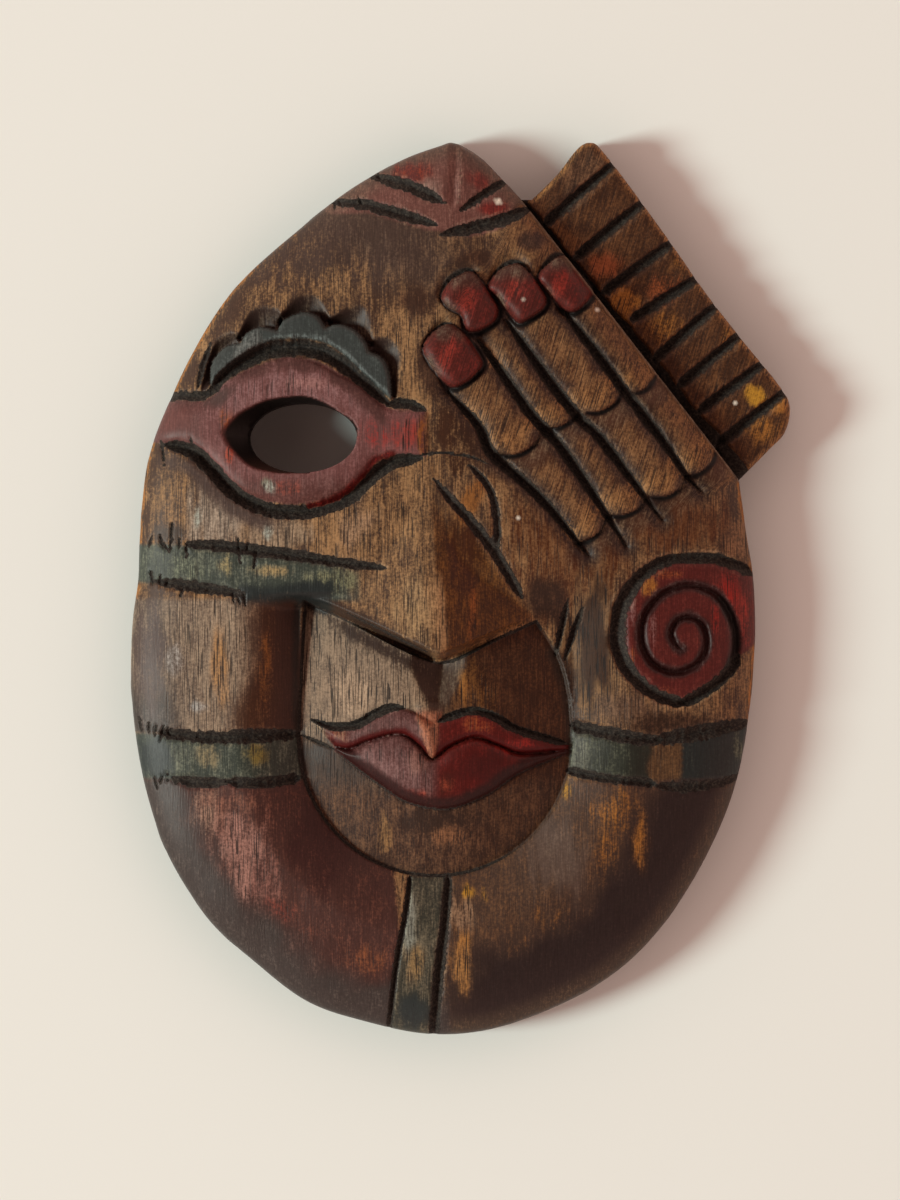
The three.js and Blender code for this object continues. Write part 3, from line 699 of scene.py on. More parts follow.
RING_TOP = curve([
    (-86, 54), (-76, 52), (-70, 52.5), (-65.5, 57), (-59.5, 60.5), (-54.5, 62.5), (-48, 64), (-41, 63),
    (-34.5, 59.5), (-28, 56), (-22, 50.8), (-18.5, 49.3), (-10, 49),
])
RING_BOTTOM = curve([
    (-90, 41.5), (-82.5, 41), (-78, 41), (-75, 39.8), (-71, 37), (-67.5, 33.4), (-64, 29.8), (-60.5, 27),
    (-54.5, 25), (-48.5, 24), (-42.5, 24.3), (-36.5, 25.6), (-30.5, 28.9), (-26.5, 33.2), (-24, 36.6),
    (-19.5, 37.5), (-10, 37),
])
ALMOND = curve([
    (-66.5, 44), (-62.5, 48.5), (-59, 50.5), (-54.5, 52.5), (-48.5, 53.5), (-42.5, 53.5), (-37.5, 51.5),
    (-33, 48.5), (-30, 46.5), (-28.6, 43.5), (-30.5, 40), (-34, 36.5), (-39, 33), (-45, 32), (-50.5, 32),
    (-58, 33.5), (-62.5, 37), (-65.5, 40.5),
], closed=True)[:-1]


def hole_loop(count):
    turn = np.linspace(0, 2 * math.pi, count, endpoint=False)
    return HOLE_CENTRE + HOLE_RADII[0] * np.cos(turn) + 1j * HOLE_RADII[1] * np.sin(turn)


def eye_ring(work):
    """The raised red ring with its two tails."""
    p = work.p
    ring = np.concatenate([RING_TOP, RING_BOTTOM[::-1]])
    work.pad(ring, rise=RING_RISE, rounding=3.5)
    edges = [work.beside(line[8:], 0.5) for line in (RING_TOP, RING_BOTTOM)]
    red = np.maximum.reduce([work.within(ring), *edges])
    work.lay(red, paint=(98, 60, 56), bare=(118, 80, 76), wear=0.36)
    work.lay(red * rising(46, 56, p.imag), bare=(126, 90, 87), wear=0.46)
    work.lay(red * rising(-68, -76, p.real), paint=(84, 52, 48), bare=(104, 68, 62), wear=0.3)
    work.lay(red * rising(33, 27, p.imag), paint=(78, 44, 39), bare=(100, 64, 57), wear=0.38)
    # The row at (-42, 57) is a painted highlight on the ring's edge above the almond
    work.dabs([
        (-65, 47, 2, 4, 0.5, ORANGE), (-64.5, 37, 1.8, 3, 0.62, ORANGE_RED),
        (-48, 28, 4, 2.2, 0.44, ORANGE_RED), (-54, 29, 2.2, 1.8, 0.55, PALE_GREEN),
        (-15, 42.5, 4.5, 5, 0.6, (134, 50, 40)), (-42, 57, 9, 2, 0.55, PINK * 1.2),
        (-22, 43, 6, 5, 0.42, BRIGHT_RED), (-11, 42, 1.2, 6, 0.6, OCHRE),
        (-40, 29, 10, 3, 0.36, PINK * 0.75), (-80, 47, 7, 4, 0.25, None, DUSKY_RED * 0.8 + STAIN * 0.2),
        (-67, 54, 6, 3, 0.15, None, (66, 46, 42), 35),
        (-57, 60.5, 8, 2.6, 0.3, (96, 63, 57), (72, 44, 40), 25),
        (-45, 62.5, 8, 2.6, 0.3, (96, 63, 57), (72, 44, 40)),
        (-33, 57.5, 8, 2.6, 0.3, (96, 63, 57), (72, 44, 40), -30),
        (-26, 51.5, 8, 2.6, 0.3, (96, 63, 57), (72, 44, 40), -40),
    ], red)


def eye_socket(work):
    """Slopes from the almond down to the hole, black at the top."""
    p = work.p
    i = near(ALMOND, 2, p)
    depth = np.maximum(depth_in(ALMOND, p[i]), 0)
    to_hole = np.maximum(-depth_in(hole_loop(80), p[i]), 0)
    share = depth / (depth + to_hole + 1e-6)
    work.z[i] -= (FUNNEL_DEPTH + RING_RISE) * share**0.75
    brown = work.amounts(i, rising(0.02, 0.2, share))
    black = brown * rising(34, 42, p.imag + 0.25 * (HOLE_CENTRE.real - p.real))
    work.lay(brown, paint=(54, 37, 29), wear=0.15)
    work.lay(black, paint=CHARCOAL, wear=0)


def eye_grooves(work):
    p = work.p
    upper = curve([(-82.5, 52.8), (-79, 54), (-74, 53.8), (-70, 54.5), (-66.5, 57.5)])
    work.cut(upper, 2.6, 1.5, taper=3, ragged=0.4)
    work.cut(curve([(-20.5, 51), (-16, 51.4), (-10, 49.8)]), 3.2, 1.7, taper=4, lean=0.3, edge=0.05)
    lower = curve([
        (-83, 40.3), (-79, 39.6), (-75, 38.3), (-71, 35), (-65, 28.4), (-60, 24.6), (-54, 22.1), (-46, 21.1),
        (-38.5, 22.2), (-30.2, 25.9), (-24.6, 31.2), (-19, 35), (-11, 36.2),
    ])
    # Painted shade on the far flank below the groove's left part, which faces away from the light
    shaded_flank = work.beside(moved(lower, -3.6), 2.2, blur=1.8) * rising(-48, -56, p.real)
    shaded_flank *= rising(38, 33, p.imag)
    work.lay(shaded_flank, paint=(66, 50, 43), bare=(100, 80, 68), wear=0.26)
    work.cut(lower, [3.2, 4.8, 4.6, 4.4, 4.4, 4.6, 4.4, 3.4], 3.4, taper=4, lean=0.25, edge=0.06, fade=0.1)
    wall = curve([(-42, 22.5), (-35, 24.5), (-29, 29), (-24, 35), (-19, 37)])
    red_wall = work.beside(moved(wall, 0.4), 0.9)
    work.lay(red_wall, paint=DEEP_RED * 1.4, bare=BRIGHT_RED, wear=0.25, soot=0.1)


BROW_LOBES = [
    [(-70, 57.5), (-69.5, 63), (-66, 67.3), (-61.5, 68.5)],
    [(-61.5, 68.5), (-59.5, 71.5), (-55.5, 73), (-51, 72)],
    [(-51, 72), (-49.5, 74.8), (-44, 77), (-40, 76), (-37.5, 72.7)],
    [(-37.5, 72.7), (-34, 73.7), (-29.5, 72), (-26.5, 68.5), (-25.5, 66)],
    [(-25.5, 66), (-22, 64.2), (-20, 60.5), (-19.2, 54.5), (-19.5, 52.5)],
]
BROW_LOW = curve([
    (-70, 56), (-68, 58.5), (-63.5, 62.5), (-59.5, 65.5), (-54.5, 68.3), (-50.5, 69.3), (-44, 69.5),
    (-39, 68.7), (-35, 66.8), (-31, 63.5), (-26, 58.5), (-21.5, 54.3), (-19.5, 52.5),
])
SCOOPS = [
    [(-72, 55), (-71, 63), (-69, 68), (-66.5, 70.5), (-63.5, 71.3), (-61.5, 69)],
    [(-62, 69), (-60.5, 74), (-58.5, 77), (-54.5, 78.5), (-50.5, 77), (-50.5, 72.5)],
    [(-50.5, 73.5), (-48, 79), (-44, 81.5), (-40, 81), (-37.5, 77), (-36.5, 73.2)],
    [(-37, 73.5), (-34, 76.5), (-29.5, 78.5), (-26.5, 77.5), (-25.2, 72), (-25, 67)],
    [(-25.5, 66.5), (-23, 69.5), (-19, 68.7), (-17, 65.5), (-17.3, 60.5), (-18.7, 52.5)],
]


def brow_loop():
    lobes = [curve(points, 0.6)[:-1] for points in BROW_LOBES]
    return np.concatenate([*lobes, BROW_LOW[::-1][:-1]])


BROW_LOOP = brow_loop()


def brow_scoops(work):
    """Hollows above the lobes, painted darker as painted shade, most at their left."""
    for points in SCOOPS:
        loop = curve(points, closed=True)[:-1]
        hollow = work.within(loop, blur=0.6)
        shady = rising(0.5, -1.5, work.p.real - loop.real.mean())
        work.lay(hollow, paint=DARK_STAIN, bare=GREY_TAN * 0.5, wear=0.36)
        # Painted shade on the left part of each hollow
        work.lay(hollow * shady, paint=DARK_STAIN * 0.8, wear=0.1)
        work.scoop(loop, BROW_LOOP, depth=2.8, soot=0.3)


def brow(work):
    work.cut(curve([(-73.5, 56), (-72.2, 62), (-70, 68.5)]), 1.8, 1.2, taper=4, lean=-0.4)
    work.pad(BROW_LOOP, rise=1.8, rounding=1.3)
    plate = work.within(BROW_LOOP, blur=0.3, ragged=0.1)
    work.lay(plate, paint=(50, 54, 51), bare=(80, 85, 80), wear=0.22)
    # Painted highlight along the plate's lower edge
    work.lay(plate * work.beside(moved(BROW_LOW, 0.8), 0.6), bare=(88, 95, 91), wear=0.5)
    work.dabs([(-60, 66.5, 7, 3.5, 0.5, (100, 100, 94), None, 35)], plate)
    work.lay(plate, soot=0)
    between = curve([
        (-69, 56.2), (-66, 59.5), (-60, 63.3), (-54, 66), (-47, 67), (-40, 66.2), (-34.5, 63.5),
        (-28, 58.2), (-22, 52.8), (-20, 51.6),
    ])
    work.cut(between, [3, 5.2, 5.4, 4.4, 2.6], 3.2, taper=3, lean=0.2, edge=0.05, fade=0.3)
    work.lay(work.beside(moved(between, 1.5), 1.1) * work.soot, paint=GREEN_BLACK * 0.5, wear=0.1, soot=0.5)


CAP_EDGE = curve([
    (-42, 108), (-35.5, 105), (-26, 105), (-17, 102.3), (-8, 99.8), (4, 98.6), (12.5, 101), (21, 105),
])


def cap(work):
    loop = np.concatenate([CAP_EDGE, curve([(21, 112), (10, 122), (0, 130), (-20, 125), (-42, 112)])])
    red = work.within(loop)
    work.lay(red, paint=(96, 60, 52), bare=(124, 86, 74), wear=0.34)
    at_rim = red * rising(7, 1, depth_in(whole_loop, work.p))
    work.lay(at_rim, paint=(84, 62, 52), bare=(112, 84, 68), wear=0.36)
    work.dabs([
        (-14, 116, 7, 4, 0.36, ORANGE_RED * 0.7, CAP_RED),
        (-9, 112, 4, 3, 0.4, (130, 98, 86), (108, 78, 68)),
        (5, 114, 3.4, 3.4, 0.4, (130, 56, 46), (96, 42, 36)),
        (9, 106, 6, 2, 0.4, (130, 46, 36), (94, 34, 30)),
    ], red)
    for points, width, depth, lean, soot in (
        ([(-25.5, 115.6), (-19, 113.8), (-12, 111.3), (-4.6, 107.6)], [2.4, 4, 4, 3], 1.7, 0.2, 1),
        ([(-37, 108.7), (-32, 107.8), (-26, 107), (-17, 104.4), (-6.5, 101.3)], [2.2, 3.6, 3.8, 2.4],
         1.7, 0.2, 1),
        ([(-1.8, 126), (-2, 116), (-2.7, 106)], 3.6, 1.2, 0.2, 0.2),
        ([(0, 105.5), (6.5, 110), (13, 114.5)], 2.8, 1.6, 0.4, 0.9),
        ([(-5.5, 98.7), (4, 100.6), (12.5, 103), (19.5, 106.5)], [2.6, 4, 4, 3], 1.9, 0.3, 1),
    ):
        work.cut(curve(points), width, depth, taper=4, lean=lean, soot=soot, edge=0.5, fade=0.15)


NAILS = [
    [(-10.5, 66), (-8.5, 70.5), (-4, 73.5), (-0.5, 72), (2.5, 69), (6, 63), (4.5, 60), (1, 57), (-3, 56),
     (-7, 60)],
    [(-5.5, 81), (-3.5, 85), (0, 87.5), (3.5, 88), (8.5, 81.5), (10.5, 77.5), (9, 74), (4.5, 71.5), (1.5, 72),
     (0, 76), (-3.5, 78)],
    [(7.5, 84), (10.5, 88.5), (15.5, 90.5), (19, 88), (23.5, 81.5), (23, 78), (19, 75), (16, 74), (13, 77),
     (10, 81)],
    [(21.5, 86.5), (25, 91), (28.5, 93), (31.5, 91), (37, 84.5), (36, 81), (32.5, 77.5), (29, 77.5),
     (25.5, 81)],
]
NAIL_SCOOPS = [
    [(-10.5, 67), (-8.5, 72), (-5, 75.5), (-3, 74)],
    [(-6, 80), (-6.5, 86), (-3, 90.5), (1.5, 91.5), (5, 88.5)],
    [(8, 84.5), (9.5, 91), (13, 94), (17, 93.5), (19.5, 89.5)],
    [(21.5, 87), (21.5, 92.5), (24.5, 96), (28, 96), (30, 93)],
]
FINGER_GAPS = [
    [(-4, 55), (5, 45.2), (8.5, 37.5), (16.5, 30.5), (25, 22), (35.5, 9)],
    [(4.5, 69.5), (11.5, 60), (19.5, 48.5), (28, 39), (40.5, 20.5), (46, 11.5)],
    [(12.5, 75), (22, 61.5), (32, 48.5), (39, 41.5), (51.5, 25), (56, 19)],
    [(28, 78), (39, 64), (46, 54.5), (56, 41.5), (62.5, 32), (67, 27)],
]
KNUCKLES = [
    [(9, 37.8), (13, 37.3), (17, 38), (20.3, 40.5), (22.5, 44)],
    [(31, 12.6), (35, 13.6), (38.3, 16.2), (40.7, 21)],
    [(21.5, 45.3), (26.5, 45), (30.5, 47), (33, 49.8)], [(40.5, 20.6), (45, 20.6), (49, 22.4), (51.9, 26)],
    [(34, 49.3), (39, 49.6), (42.8, 52), (45, 55.3)], [(52, 25.8), (57.5, 26), (61, 28.6), (62.7, 32.3)],
    [(47.5, 54.6), (51.5, 56), (55, 61.3)], [(61.5, 31.6), (65.8, 32.3), (69.4, 35), (71.6, 40)],
]
FINGER_LINES = [curve(points) for points in FINGER_GAPS]
NAIL_LOOPS = [curve(points, 0.6, closed=True)[:-1] for points in NAILS]


def fingers(work):
    p = work.p
    other_sides = [((35.5, 9), (67, 27)), ((78, 31), (17, 109)), ((8, 90), (-10, 66))]
    hand_loop = np.concatenate([FINGER_LINES[0], *(straight(*ends) for ends in other_sides)])
    skin = work.within(hand_loop, blur=1.5)
    work.lay(skin, paint=STAIN * 0.5 + RED_STAIN * 0.5, bare=BROWN * 0.5 + TAN * 0.5, wear=0.5)
    work.shift += skin * leaning(p)
    work.round_off(FINGER_LINES, reach=5.4, drop=2.8)
    # Painted shade beside the gaps between the fingers
    for line in FINGER_LINES:
        work.lay(work.beside(line, 3.2, blur=1.8), paint=DARK_STAIN, bare=(96, 72, 52), wear=0.36)
    work.dabs([
        (1, 42, 4, 7, 0.25, None, (52, 32, 22), 30),
        (10.5, 64, 3.4, 5, 0.56, (136, 98, 64), (74, 52, 36), 35),
        (4, 49, 3.4, 5, 0.56, (136, 98, 64), (74, 52, 36), 35), (-2, 36, 5, 5, 0.35, None, (56, 34, 22)),
        (20, 97, 4, 3, 0.3, (88, 60, 44), (52, 35, 26)), (30, 55, 4, 3, 0.3, (88, 60, 44), (52, 35, 26)),
    ])


def knuckles(work):
    """Curved steps across the fingers, with a painted highlight above and painted shade below."""
    for points in KNUCKLES:
        line = curve(points, 0.6)
        work.round_off([line], reach=2.4, drop=0.5)
        # Painted highlight above each step and painted shade below it
        work.lay(work.beside(moved(line, 3.8), 2.6, blur=2.4), bare=(142, 100, 60), wear=0.53)
        work.lay(work.beside(moved(line, -3.5), 2.6, blur=1.5), bare=(108, 84, 62), wear=0.36)
        work.stop_cut(line, drop=1.9, reach=5)


def finger_gaps(work):
    p = work.p
    for line in FINGER_LINES:
        work.cut(line, [2.2, 3.6, 3.4, 1.4], 2.3, taper=8, lean=-0.5, fade=0.35, edge=0.2)
    straight_edge = straight(CREST_CORNER, HAND_CORNER)
    i = near(straight_edge, 6, p)
    distance = to_line(straight_edge, p[i])[0]
    work.z[i] -= np.where(work.on_face[i], 1.5 * (1 - bulge(distance, 5)), 0)


def nail_ditches(work):
    """Sunk ground round the nails, deepest at their lower right, painted black in it as painted shadow, and a
    scoop above each.
    """
    p = work.p
    for nail, points in zip(NAIL_LOOPS, NAIL_SCOOPS):
        i = near(nail, 4, p)
        outside = -depth_in(nail, p[i])
        arm = p[i] - nail.mean()
        lower_right = (arm * np.exp(0.25j * math.pi)).real / abs(arm)
        fullness = 0.35 + 0.65 * rising(0.1, 0.7, lower_right)
        ditch = np.clip(1 - outside / (2.1 * fullness), 0, 1) * rising(-0.3, 0.1, outside)
        work.z[i] -= 1.5 * fullness * ditch
        # Painted shadow: black in the ditch, widest at the lower right
        work.lay(work.amounts(i, rising(0.15, 0.5, ditch)), paint=CHARCOAL, wear=0)
        middle = (nail.real.mean(), nail.imag.mean())
        work.scoop(curve([*points, middle], 0.8, closed=True)[:-1], nail, depth=1.3, soot=0.9)


def nails(work):
    for nail in NAIL_LOOPS:
        work.pad(nail, rise=2.6, rounding=3.4)
        red = work.within(nail, blur=0.25, ragged=0.1)
        x, y = nail.real.mean(), nail.imag.mean()
        work.lay(red, paint=(70, 27, 22), bare=(108, 36, 29), wear=0.36, soot=0)
        work.dabs([
            (x - 2, y + 7, 7, 4, 0.38, GREY_TAN * 0.6, (64, 36, 28)),
            (x - 7, y - 4, 4, 4, 0.42, GREY_TAN, (60, 42, 34)),
            (x - 1.5, y + 0.5, 2.4, 4, 0.52, (132, 44, 33), None, -20),
        ], red)


CREST_CUTS = [
    ((24, 102.3), (45.5, 121.2)), ((32.5, 92.8), (53, 109.6)), ((40.3, 83), (61.5, 98.5)),
    ((48.3, 75.5), (69.8, 89)), ((54.6, 64.2), (74.8, 82)), ((61.6, 57), (81.2, 73.4)),
    ((67.2, 49.8), (88, 65.2)), ((72.6, 40.6), (93.4, 56.8)),
]
GRAIN_LEAN = 0.3


def leaning(p):
    """How far the grain of hand and crest has moved to the right at a height, in millimetres."""
    return GRAIN_LEAN * np.maximum(p.imag - 12, 0)


def crest(work):
    """The ribbed plate beside the hand. What its cuts did to the face beside it is put back."""
    p = work.p
    on_crest = np.where(work.on_face, 0.0, 1.0)
    kept = work.z.copy(), work.soot.copy(), work.wear.copy()
    crest_paint(work, on_crest)
    cuts = [straight(*ends) for ends in CREST_CUTS]
    work.round_off(cuts, reach=2.8, drop=0.9, where=on_crest)
    for line in cuts:
        work.cut(line, [3.6, 3.8, 3.6, 2.6], 2.4, taper=1, lean=0.55, edge=0.2, fade=0.45)
    channel = straight((17, 108.5), (77.5, 31.5))
    channel_shape(work, channel)
    for kept_values, values in zip(kept, (work.z, work.soot, work.wear)):
        values[work.on_face] = kept_values[work.on_face]
    edge = near(channel, 3, p)
    distance = to_line(straight(CREST_CORNER, HAND_CORNER), p[edge])[0]
    # A thin pale line along the face's edge: worn paint and painted highlight
    wall = work.amounts(edge, rising(0.9, 0.3, distance)) * work.on_face
    work.lay(wall, paint=(70, 54, 44), bare=WORN_AND_LIT_EDGE, wear=0.55)


def crest_paint(work, on_crest):
    work.lay(on_crest, paint=(54, 32, 20), bare=(96, 60, 33), wear=0.4)
    work.shift += on_crest * leaning(work.p)
    work.dabs([(34, 115, 6, 10, 0.46, (116, 82, 56), (62, 42, 31), -30)], on_crest)
    work.dabs([
        (40.5, 90.5, 4.5, 4.5, 0.66, (142, 78, 46)), (46, 81, 6, 4, 0.62, OCHRE),
        (31, 98, 7, 3.5, 0.6, BROWN), (56, 84, 5, 5, 0.42, ORANGE), (44, 74, 4, 4, 0.55, OCHRE),
        (57, 73, 5, 5, 0.44, OCHRE), (51, 62, 4, 5, 0.5, OCHRE), (83, 54, 4, 3, 0.74, YELLOW),
        (71, 56, 5, 4, 0.62, BROWN), (84, 45, 6, 5, 0.52, OCHRE), (90, 52, 3, 4, 0.6, OCHRE),
        (64, 96, 3, 9, 0.46, OCHRE), (78, 73, 3, 8, 0.5, OCHRE),
    ], on_crest, lean=-35)
    rim = on_crest * rising(1.9, 0.5, depth_in(whole_loop, work.p))
    work.lay(rim, bare=TAN * 0.5 + OCHRE * 0.5, wear=0.55)


def channel_shape(work, channel):
    """The channel between crest and hand, wider in its lower part."""
    p = work.p
    i = near(channel, 8, p)
    distance, _, past, _ = to_line(channel, p[i])
    width = 1.5 + 1.3 * rising(15, 60, past) + 1.5 * rising(72, 98, past) + 0.5 * noise(p[i], 2.5, 61)
    share = np.clip(1 - distance / width, 0, 1)
    work.z[i] -= 2.8 * share**0.6
    work.soot[i] = np.maximum(work.soot[i], rising(0, 0.3, share))


OUTER_COIL = curve([
    (81.5, 4), (78, 6), (73, 7.8), (68.4, 8.4), (61.5, 8.2), (55.5, 7), (49.4, 2.6), (45.2, -4), (43.8, -11),
    (44.2, -17), (46.6, -22.5), (51.5, -27.5), (57, -30.6), (62.3, -32),
], 0.7)
RISING_COIL = curve([(61, -32.2), (66, -30), (71.5, -26.3), (75.5, -22.3), (77.6, -18.7)], 0.7)
INNER_COIL = curve([
    (75.4, -22), (76.8, -17), (76.6, -11.5), (74.6, -6), (71, -1.6), (66, 0.6), (60.5, 0.4), (55, -2.5),
    (51.4, -7), (50.2, -12), (51, -17), (53.7, -21), (58.5, -23.2), (63.5, -22.6), (67.3, -19.4), (68.6, -15),
    (67.6, -10.4), (64.4, -8), (60.6, -8.8), (58.6, -12), (59.6, -15.4), (61.6, -17),
], 0.7)


def spiral(work):
    tail = curve([(77.6, -18.7), (80, -17.5), (84, -14), (88, -8), (88, 4), (81.5, 5)])
    loop = np.concatenate([OUTER_COIL, RISING_COIL, tail])
    red = work.within(loop, blur=0.5)
    work.lay(red, paint=(78, 28, 24), bare=(104, 44, 36), wear=0.3)
    work.dabs([
        (74.5, -3, 4, 8, 0.62, BRIGHT_RED), (79, -8, 3, 9, 0.5, (140, 48, 38)),
        (52.5, 0.5, 2.6, 3, 0.58, OCHRE), (57.5, 4, 4, 1.6, 0.46, ORANGE), (47.5, -19, 1.6, 3, 0.5, ORANGE),
        (56, -28.5, 5, 2, 0.42, ORANGE), (53.5, -10, 1.2, 6, 0.5, PINK), (47.6, -7, 1, 5, 0.6, PINK),
        (70.8, -9, 1.6, 5, 0.55, BRIGHT_RED), (78.5, -22, 3, 3, 0.6, STAIN),
    ], red)
    work.round_off([OUTER_COIL, RISING_COIL, INNER_COIL], reach=2.6, drop=0.6)
    work.cut(OUTER_COIL, [3.4, 3.8, 3.8, 5, 5.4, 4.4, 3.6], 2.6, taper=2, lean=-0.45, fade=0.35, edge=0.3)
    work.cut(RISING_COIL, 3.6, 2.2, taper=2.5, lean=-0.3, fade=0.2)
    work.lay(work.beside(INNER_COIL, 1.7, blur=0.5), paint=(44, 20, 18), bare=(96, 78, 72), wear=0.24)
    work.lay(work.beside(INNER_COIL[:30], 1.1, blur=0.5), paint=(26, 19, 17), wear=0.1)
    work.cut(INNER_COIL, [3.2, 3, 2.5, 2.6, 3, 2.8, 2.6, 2.4, 2.2], 1.9, taper=4, soot=0, edge=0)


def cheeks(work):
    """Two cuts beside the nose, and the left cheek between its bands."""
    p = work.p
    for points in ([(29.7, -3.2), (28.4, -9), (26.4, -18.5)], [(34, -5.2), (31.5, -12), (28.8, -20)]):
        work.cut(curve(points), 1.9, 1.5, taper=5, lean=0.3)
    column = rising(-2, -4, p.imag) * rising(-41, -39.5, p.imag) * rising(-44, -46, p.real)
    work.lay(column, paint=(84, 66, 54), bare=(136, 114, 92), wear=0.52)
    low = rising(-22, -36, p.imag)
    # Painted shade on the column's right flank, which slopes down away from the light
    shaded_flank = column * rising(-61.5, -54, p.real + 5 * low + 0.8 * noise(p, 2, 81, 9))
    work.lay(shaded_flank, paint=(62, 36, 23), bare=(104, 68, 42), wear=0.24)
    work.lay(shaded_flank * rising(-54, -48, p.real), paint=(56, 33, 24), wear=0.12)
    work.dabs([(-54.5, -22, 2.6, 13, 0.44, (124, 74, 34))], column)
    far_left = column * rising(-73, -85, p.real) * (0.3 + 0.7 * low)
    work.lay(far_left, paint=(52, 45, 40), bare=(84, 75, 67), wear=0.26)
    work.dabs([
        (-67, -22, 3, 11, 0.56, (152, 110, 68)), (-87, -20, 5, 20, 0.25, None, (70, 54, 48)),
        (-86, -36, 4, 4, 0.4, (104, 94, 86)), (-80.5, -20, 3, 4, 0.46, (150, 140, 130)),
        (-73.5, -33, 3, 1.6, 0.52, (160, 152, 142)),
    ], column)
    gap = curve([(-45.6, -5), (-46.2, -20), (-46, -36), (-44.6, -53)])
    work.lay(work.beside(gap, 1, blur=0.7), paint=(36, 27, 22), wear=0.1)


def nicks(work):
    """Short upright scratches across the ends of the grooves, by place and length."""
    for x, y, length in (
        (-86.8, 13.2, 3), (-83.6, 13.2, 4), (-80.9, 14.2, 9), (-82.4, 11.8, 2.4), (-78.6, 12.6, 3),
        (-76.5, 10.5, 4), (-61.7, 10.4, 8), (-57.2, 8, 5.4), (-59.4, 11.5, 2), (-86.5, 3.4, 5),
        (-84, 2.6, 3), (-82, 1.6, 2.6), (-78, -1.5, 2.4), (-63.4, -2.4, 2.6), (-60.2, -3, 3.6),
        (-61.8, -3.4, 2), (-89.7, -38, 4), (-87.2, -38.6, 3), (-85.3, -39.6, 4), (-83.5, -40.5, 4.4),
        (-81.6, -40, 3), (-85.3, -54.3, 3.6), (-83.7, -53.4, 2.4), (-82, -53, 4), (-80.2, -53.4, 3),
        (-83.3, 38.1, 7), (-75.2, 41, 2.4), (-33.8, 108, 2.6), (-35.3, 107.5, 2), (-28, 108.2, 1.8),
        (-24.8, 116, 2.4), (-23, 115.6, 2),
    ):
        lean = 0.5 * math.sin(x + y)
        scratch = straight((x - lean, y - length / 2), (x + lean, y + length / 2), 0.4)
        work.cut(scratch, 0.85, 0.8, 1.4, edge=0)


BANDS = [
    [(-96, 12.6), (-73, 11.8), (-59, 10), (-45, 8), (-31, 5.8), (-25, 5), (-25, -4), (-36, -3), (-46, -1.2),
     (-60, -1), (-79, 1.4), (-96, 2)],
    [(-96, -40), (-83, -41), (-67.5, -42), (-45.8, -41.2), (-44, -53), (-64, -54), (-76, -54), (-96, -53)],
    [(31, -39), (39, -40), (48, -42), (55, -43), (64.5, -41), (90, -37), (86, -52.5), (64.5, -54.5),
     (39, -52), (30.5, -50)],
]
BAND_LOOPS = [respaced(np.array([complex(*point) for point in band + band[:1]]), 1)[:-1] for band in BANDS]


def bands(work):
    """Green-black paint of the cheek bands."""
    p = work.p
    fading = np.where(p.real < 0, rising(-25, -34, p.real + 2 * noise(p, 1.6, 93, 5)), 1)
    for loop in BAND_LOOPS:
        work.lay(work.within(loop, blur=0.6) * fading, paint=GREEN, bare=PALE_GREEN, wear=0.3)
    work.dabs([
        (-76, 6, 7, 4, 0.5, (116, 118, 96)), (-65.5, 6.5, 2.5, 3, 0.56, (142, 124, 84)),
        (-52, 5, 7, 2.2, 0.56, (146, 122, 82)), (-35, 2.5, 8, 3.5, 0.5, (122, 118, 86)),
        (-71, -46.5, 5, 4, 0.52, (124, 108, 78)), (-78, -47, 4, 4, 0.46, PALE_GREEN),
        (-57, -46, 5, 4, 0.55, (118, 100, 48)), (36, -45, 4, 5, 0.46, (96, 96, 74)),
        (44, -46, 4, 5, 0.4, (98, 84, 48)), (57.5, -48, 4, 4, 0.42, (120, 76, 44)),
        (77.5, -45, 2.5, 4, 0.46, (104, 92, 54)),
    ])
    # Painted shade along the lower edge of the upper left band, where it steps down
    shaded_lower_edge = curve([(-60, -1.6), (-52, -1.8), (-46, -1.4), (-38, -5)])
    work.lay(work.beside(shaded_lower_edge, 2.4, blur=1.4), paint=GREEN_BLACK * 0.6, wear=0.08)
    work.dabs([(-87, -47, 8, 7, 0.24, (76, 76, 68), GREEN_BLACK)], work.within(BAND_LOOPS[1]))
    work.dabs([(-43, -0.5, 10, 3, 0.1, None, GREEN_BLACK * 0.6)])


def right_band(work):
    """The band on the right cheek, in upright stripes of different wear."""
    p = work.p
    band = work.within(BAND_LOOPS[2], blur=0.6)
    x = p.real + 1.6 * noise(p, 1.3, 91, 5)
    work.lay(band, paint=(42, 44, 36), bare=(84, 84, 66), wear=0.32)
    work.lay(band * rising(37, 33, x), paint=(50, 50, 42), bare=(106, 104, 88), wear=0.42)
    work.lay(band * rising(45, 49, x), paint=(36, 36, 29), wear=0.12)
    work.lay(band * rising(51.5, 53, x), paint=(70, 49, 32), bare=(102, 72, 44), wear=0.42)
    work.lay(band * rising(61, 63, x), paint=(34, 38, 36), bare=(70, 72, 60), wear=0.16)
    work.dabs([(77.5, -45, 2.5, 5, 0.5, (104, 104, 82))], band)


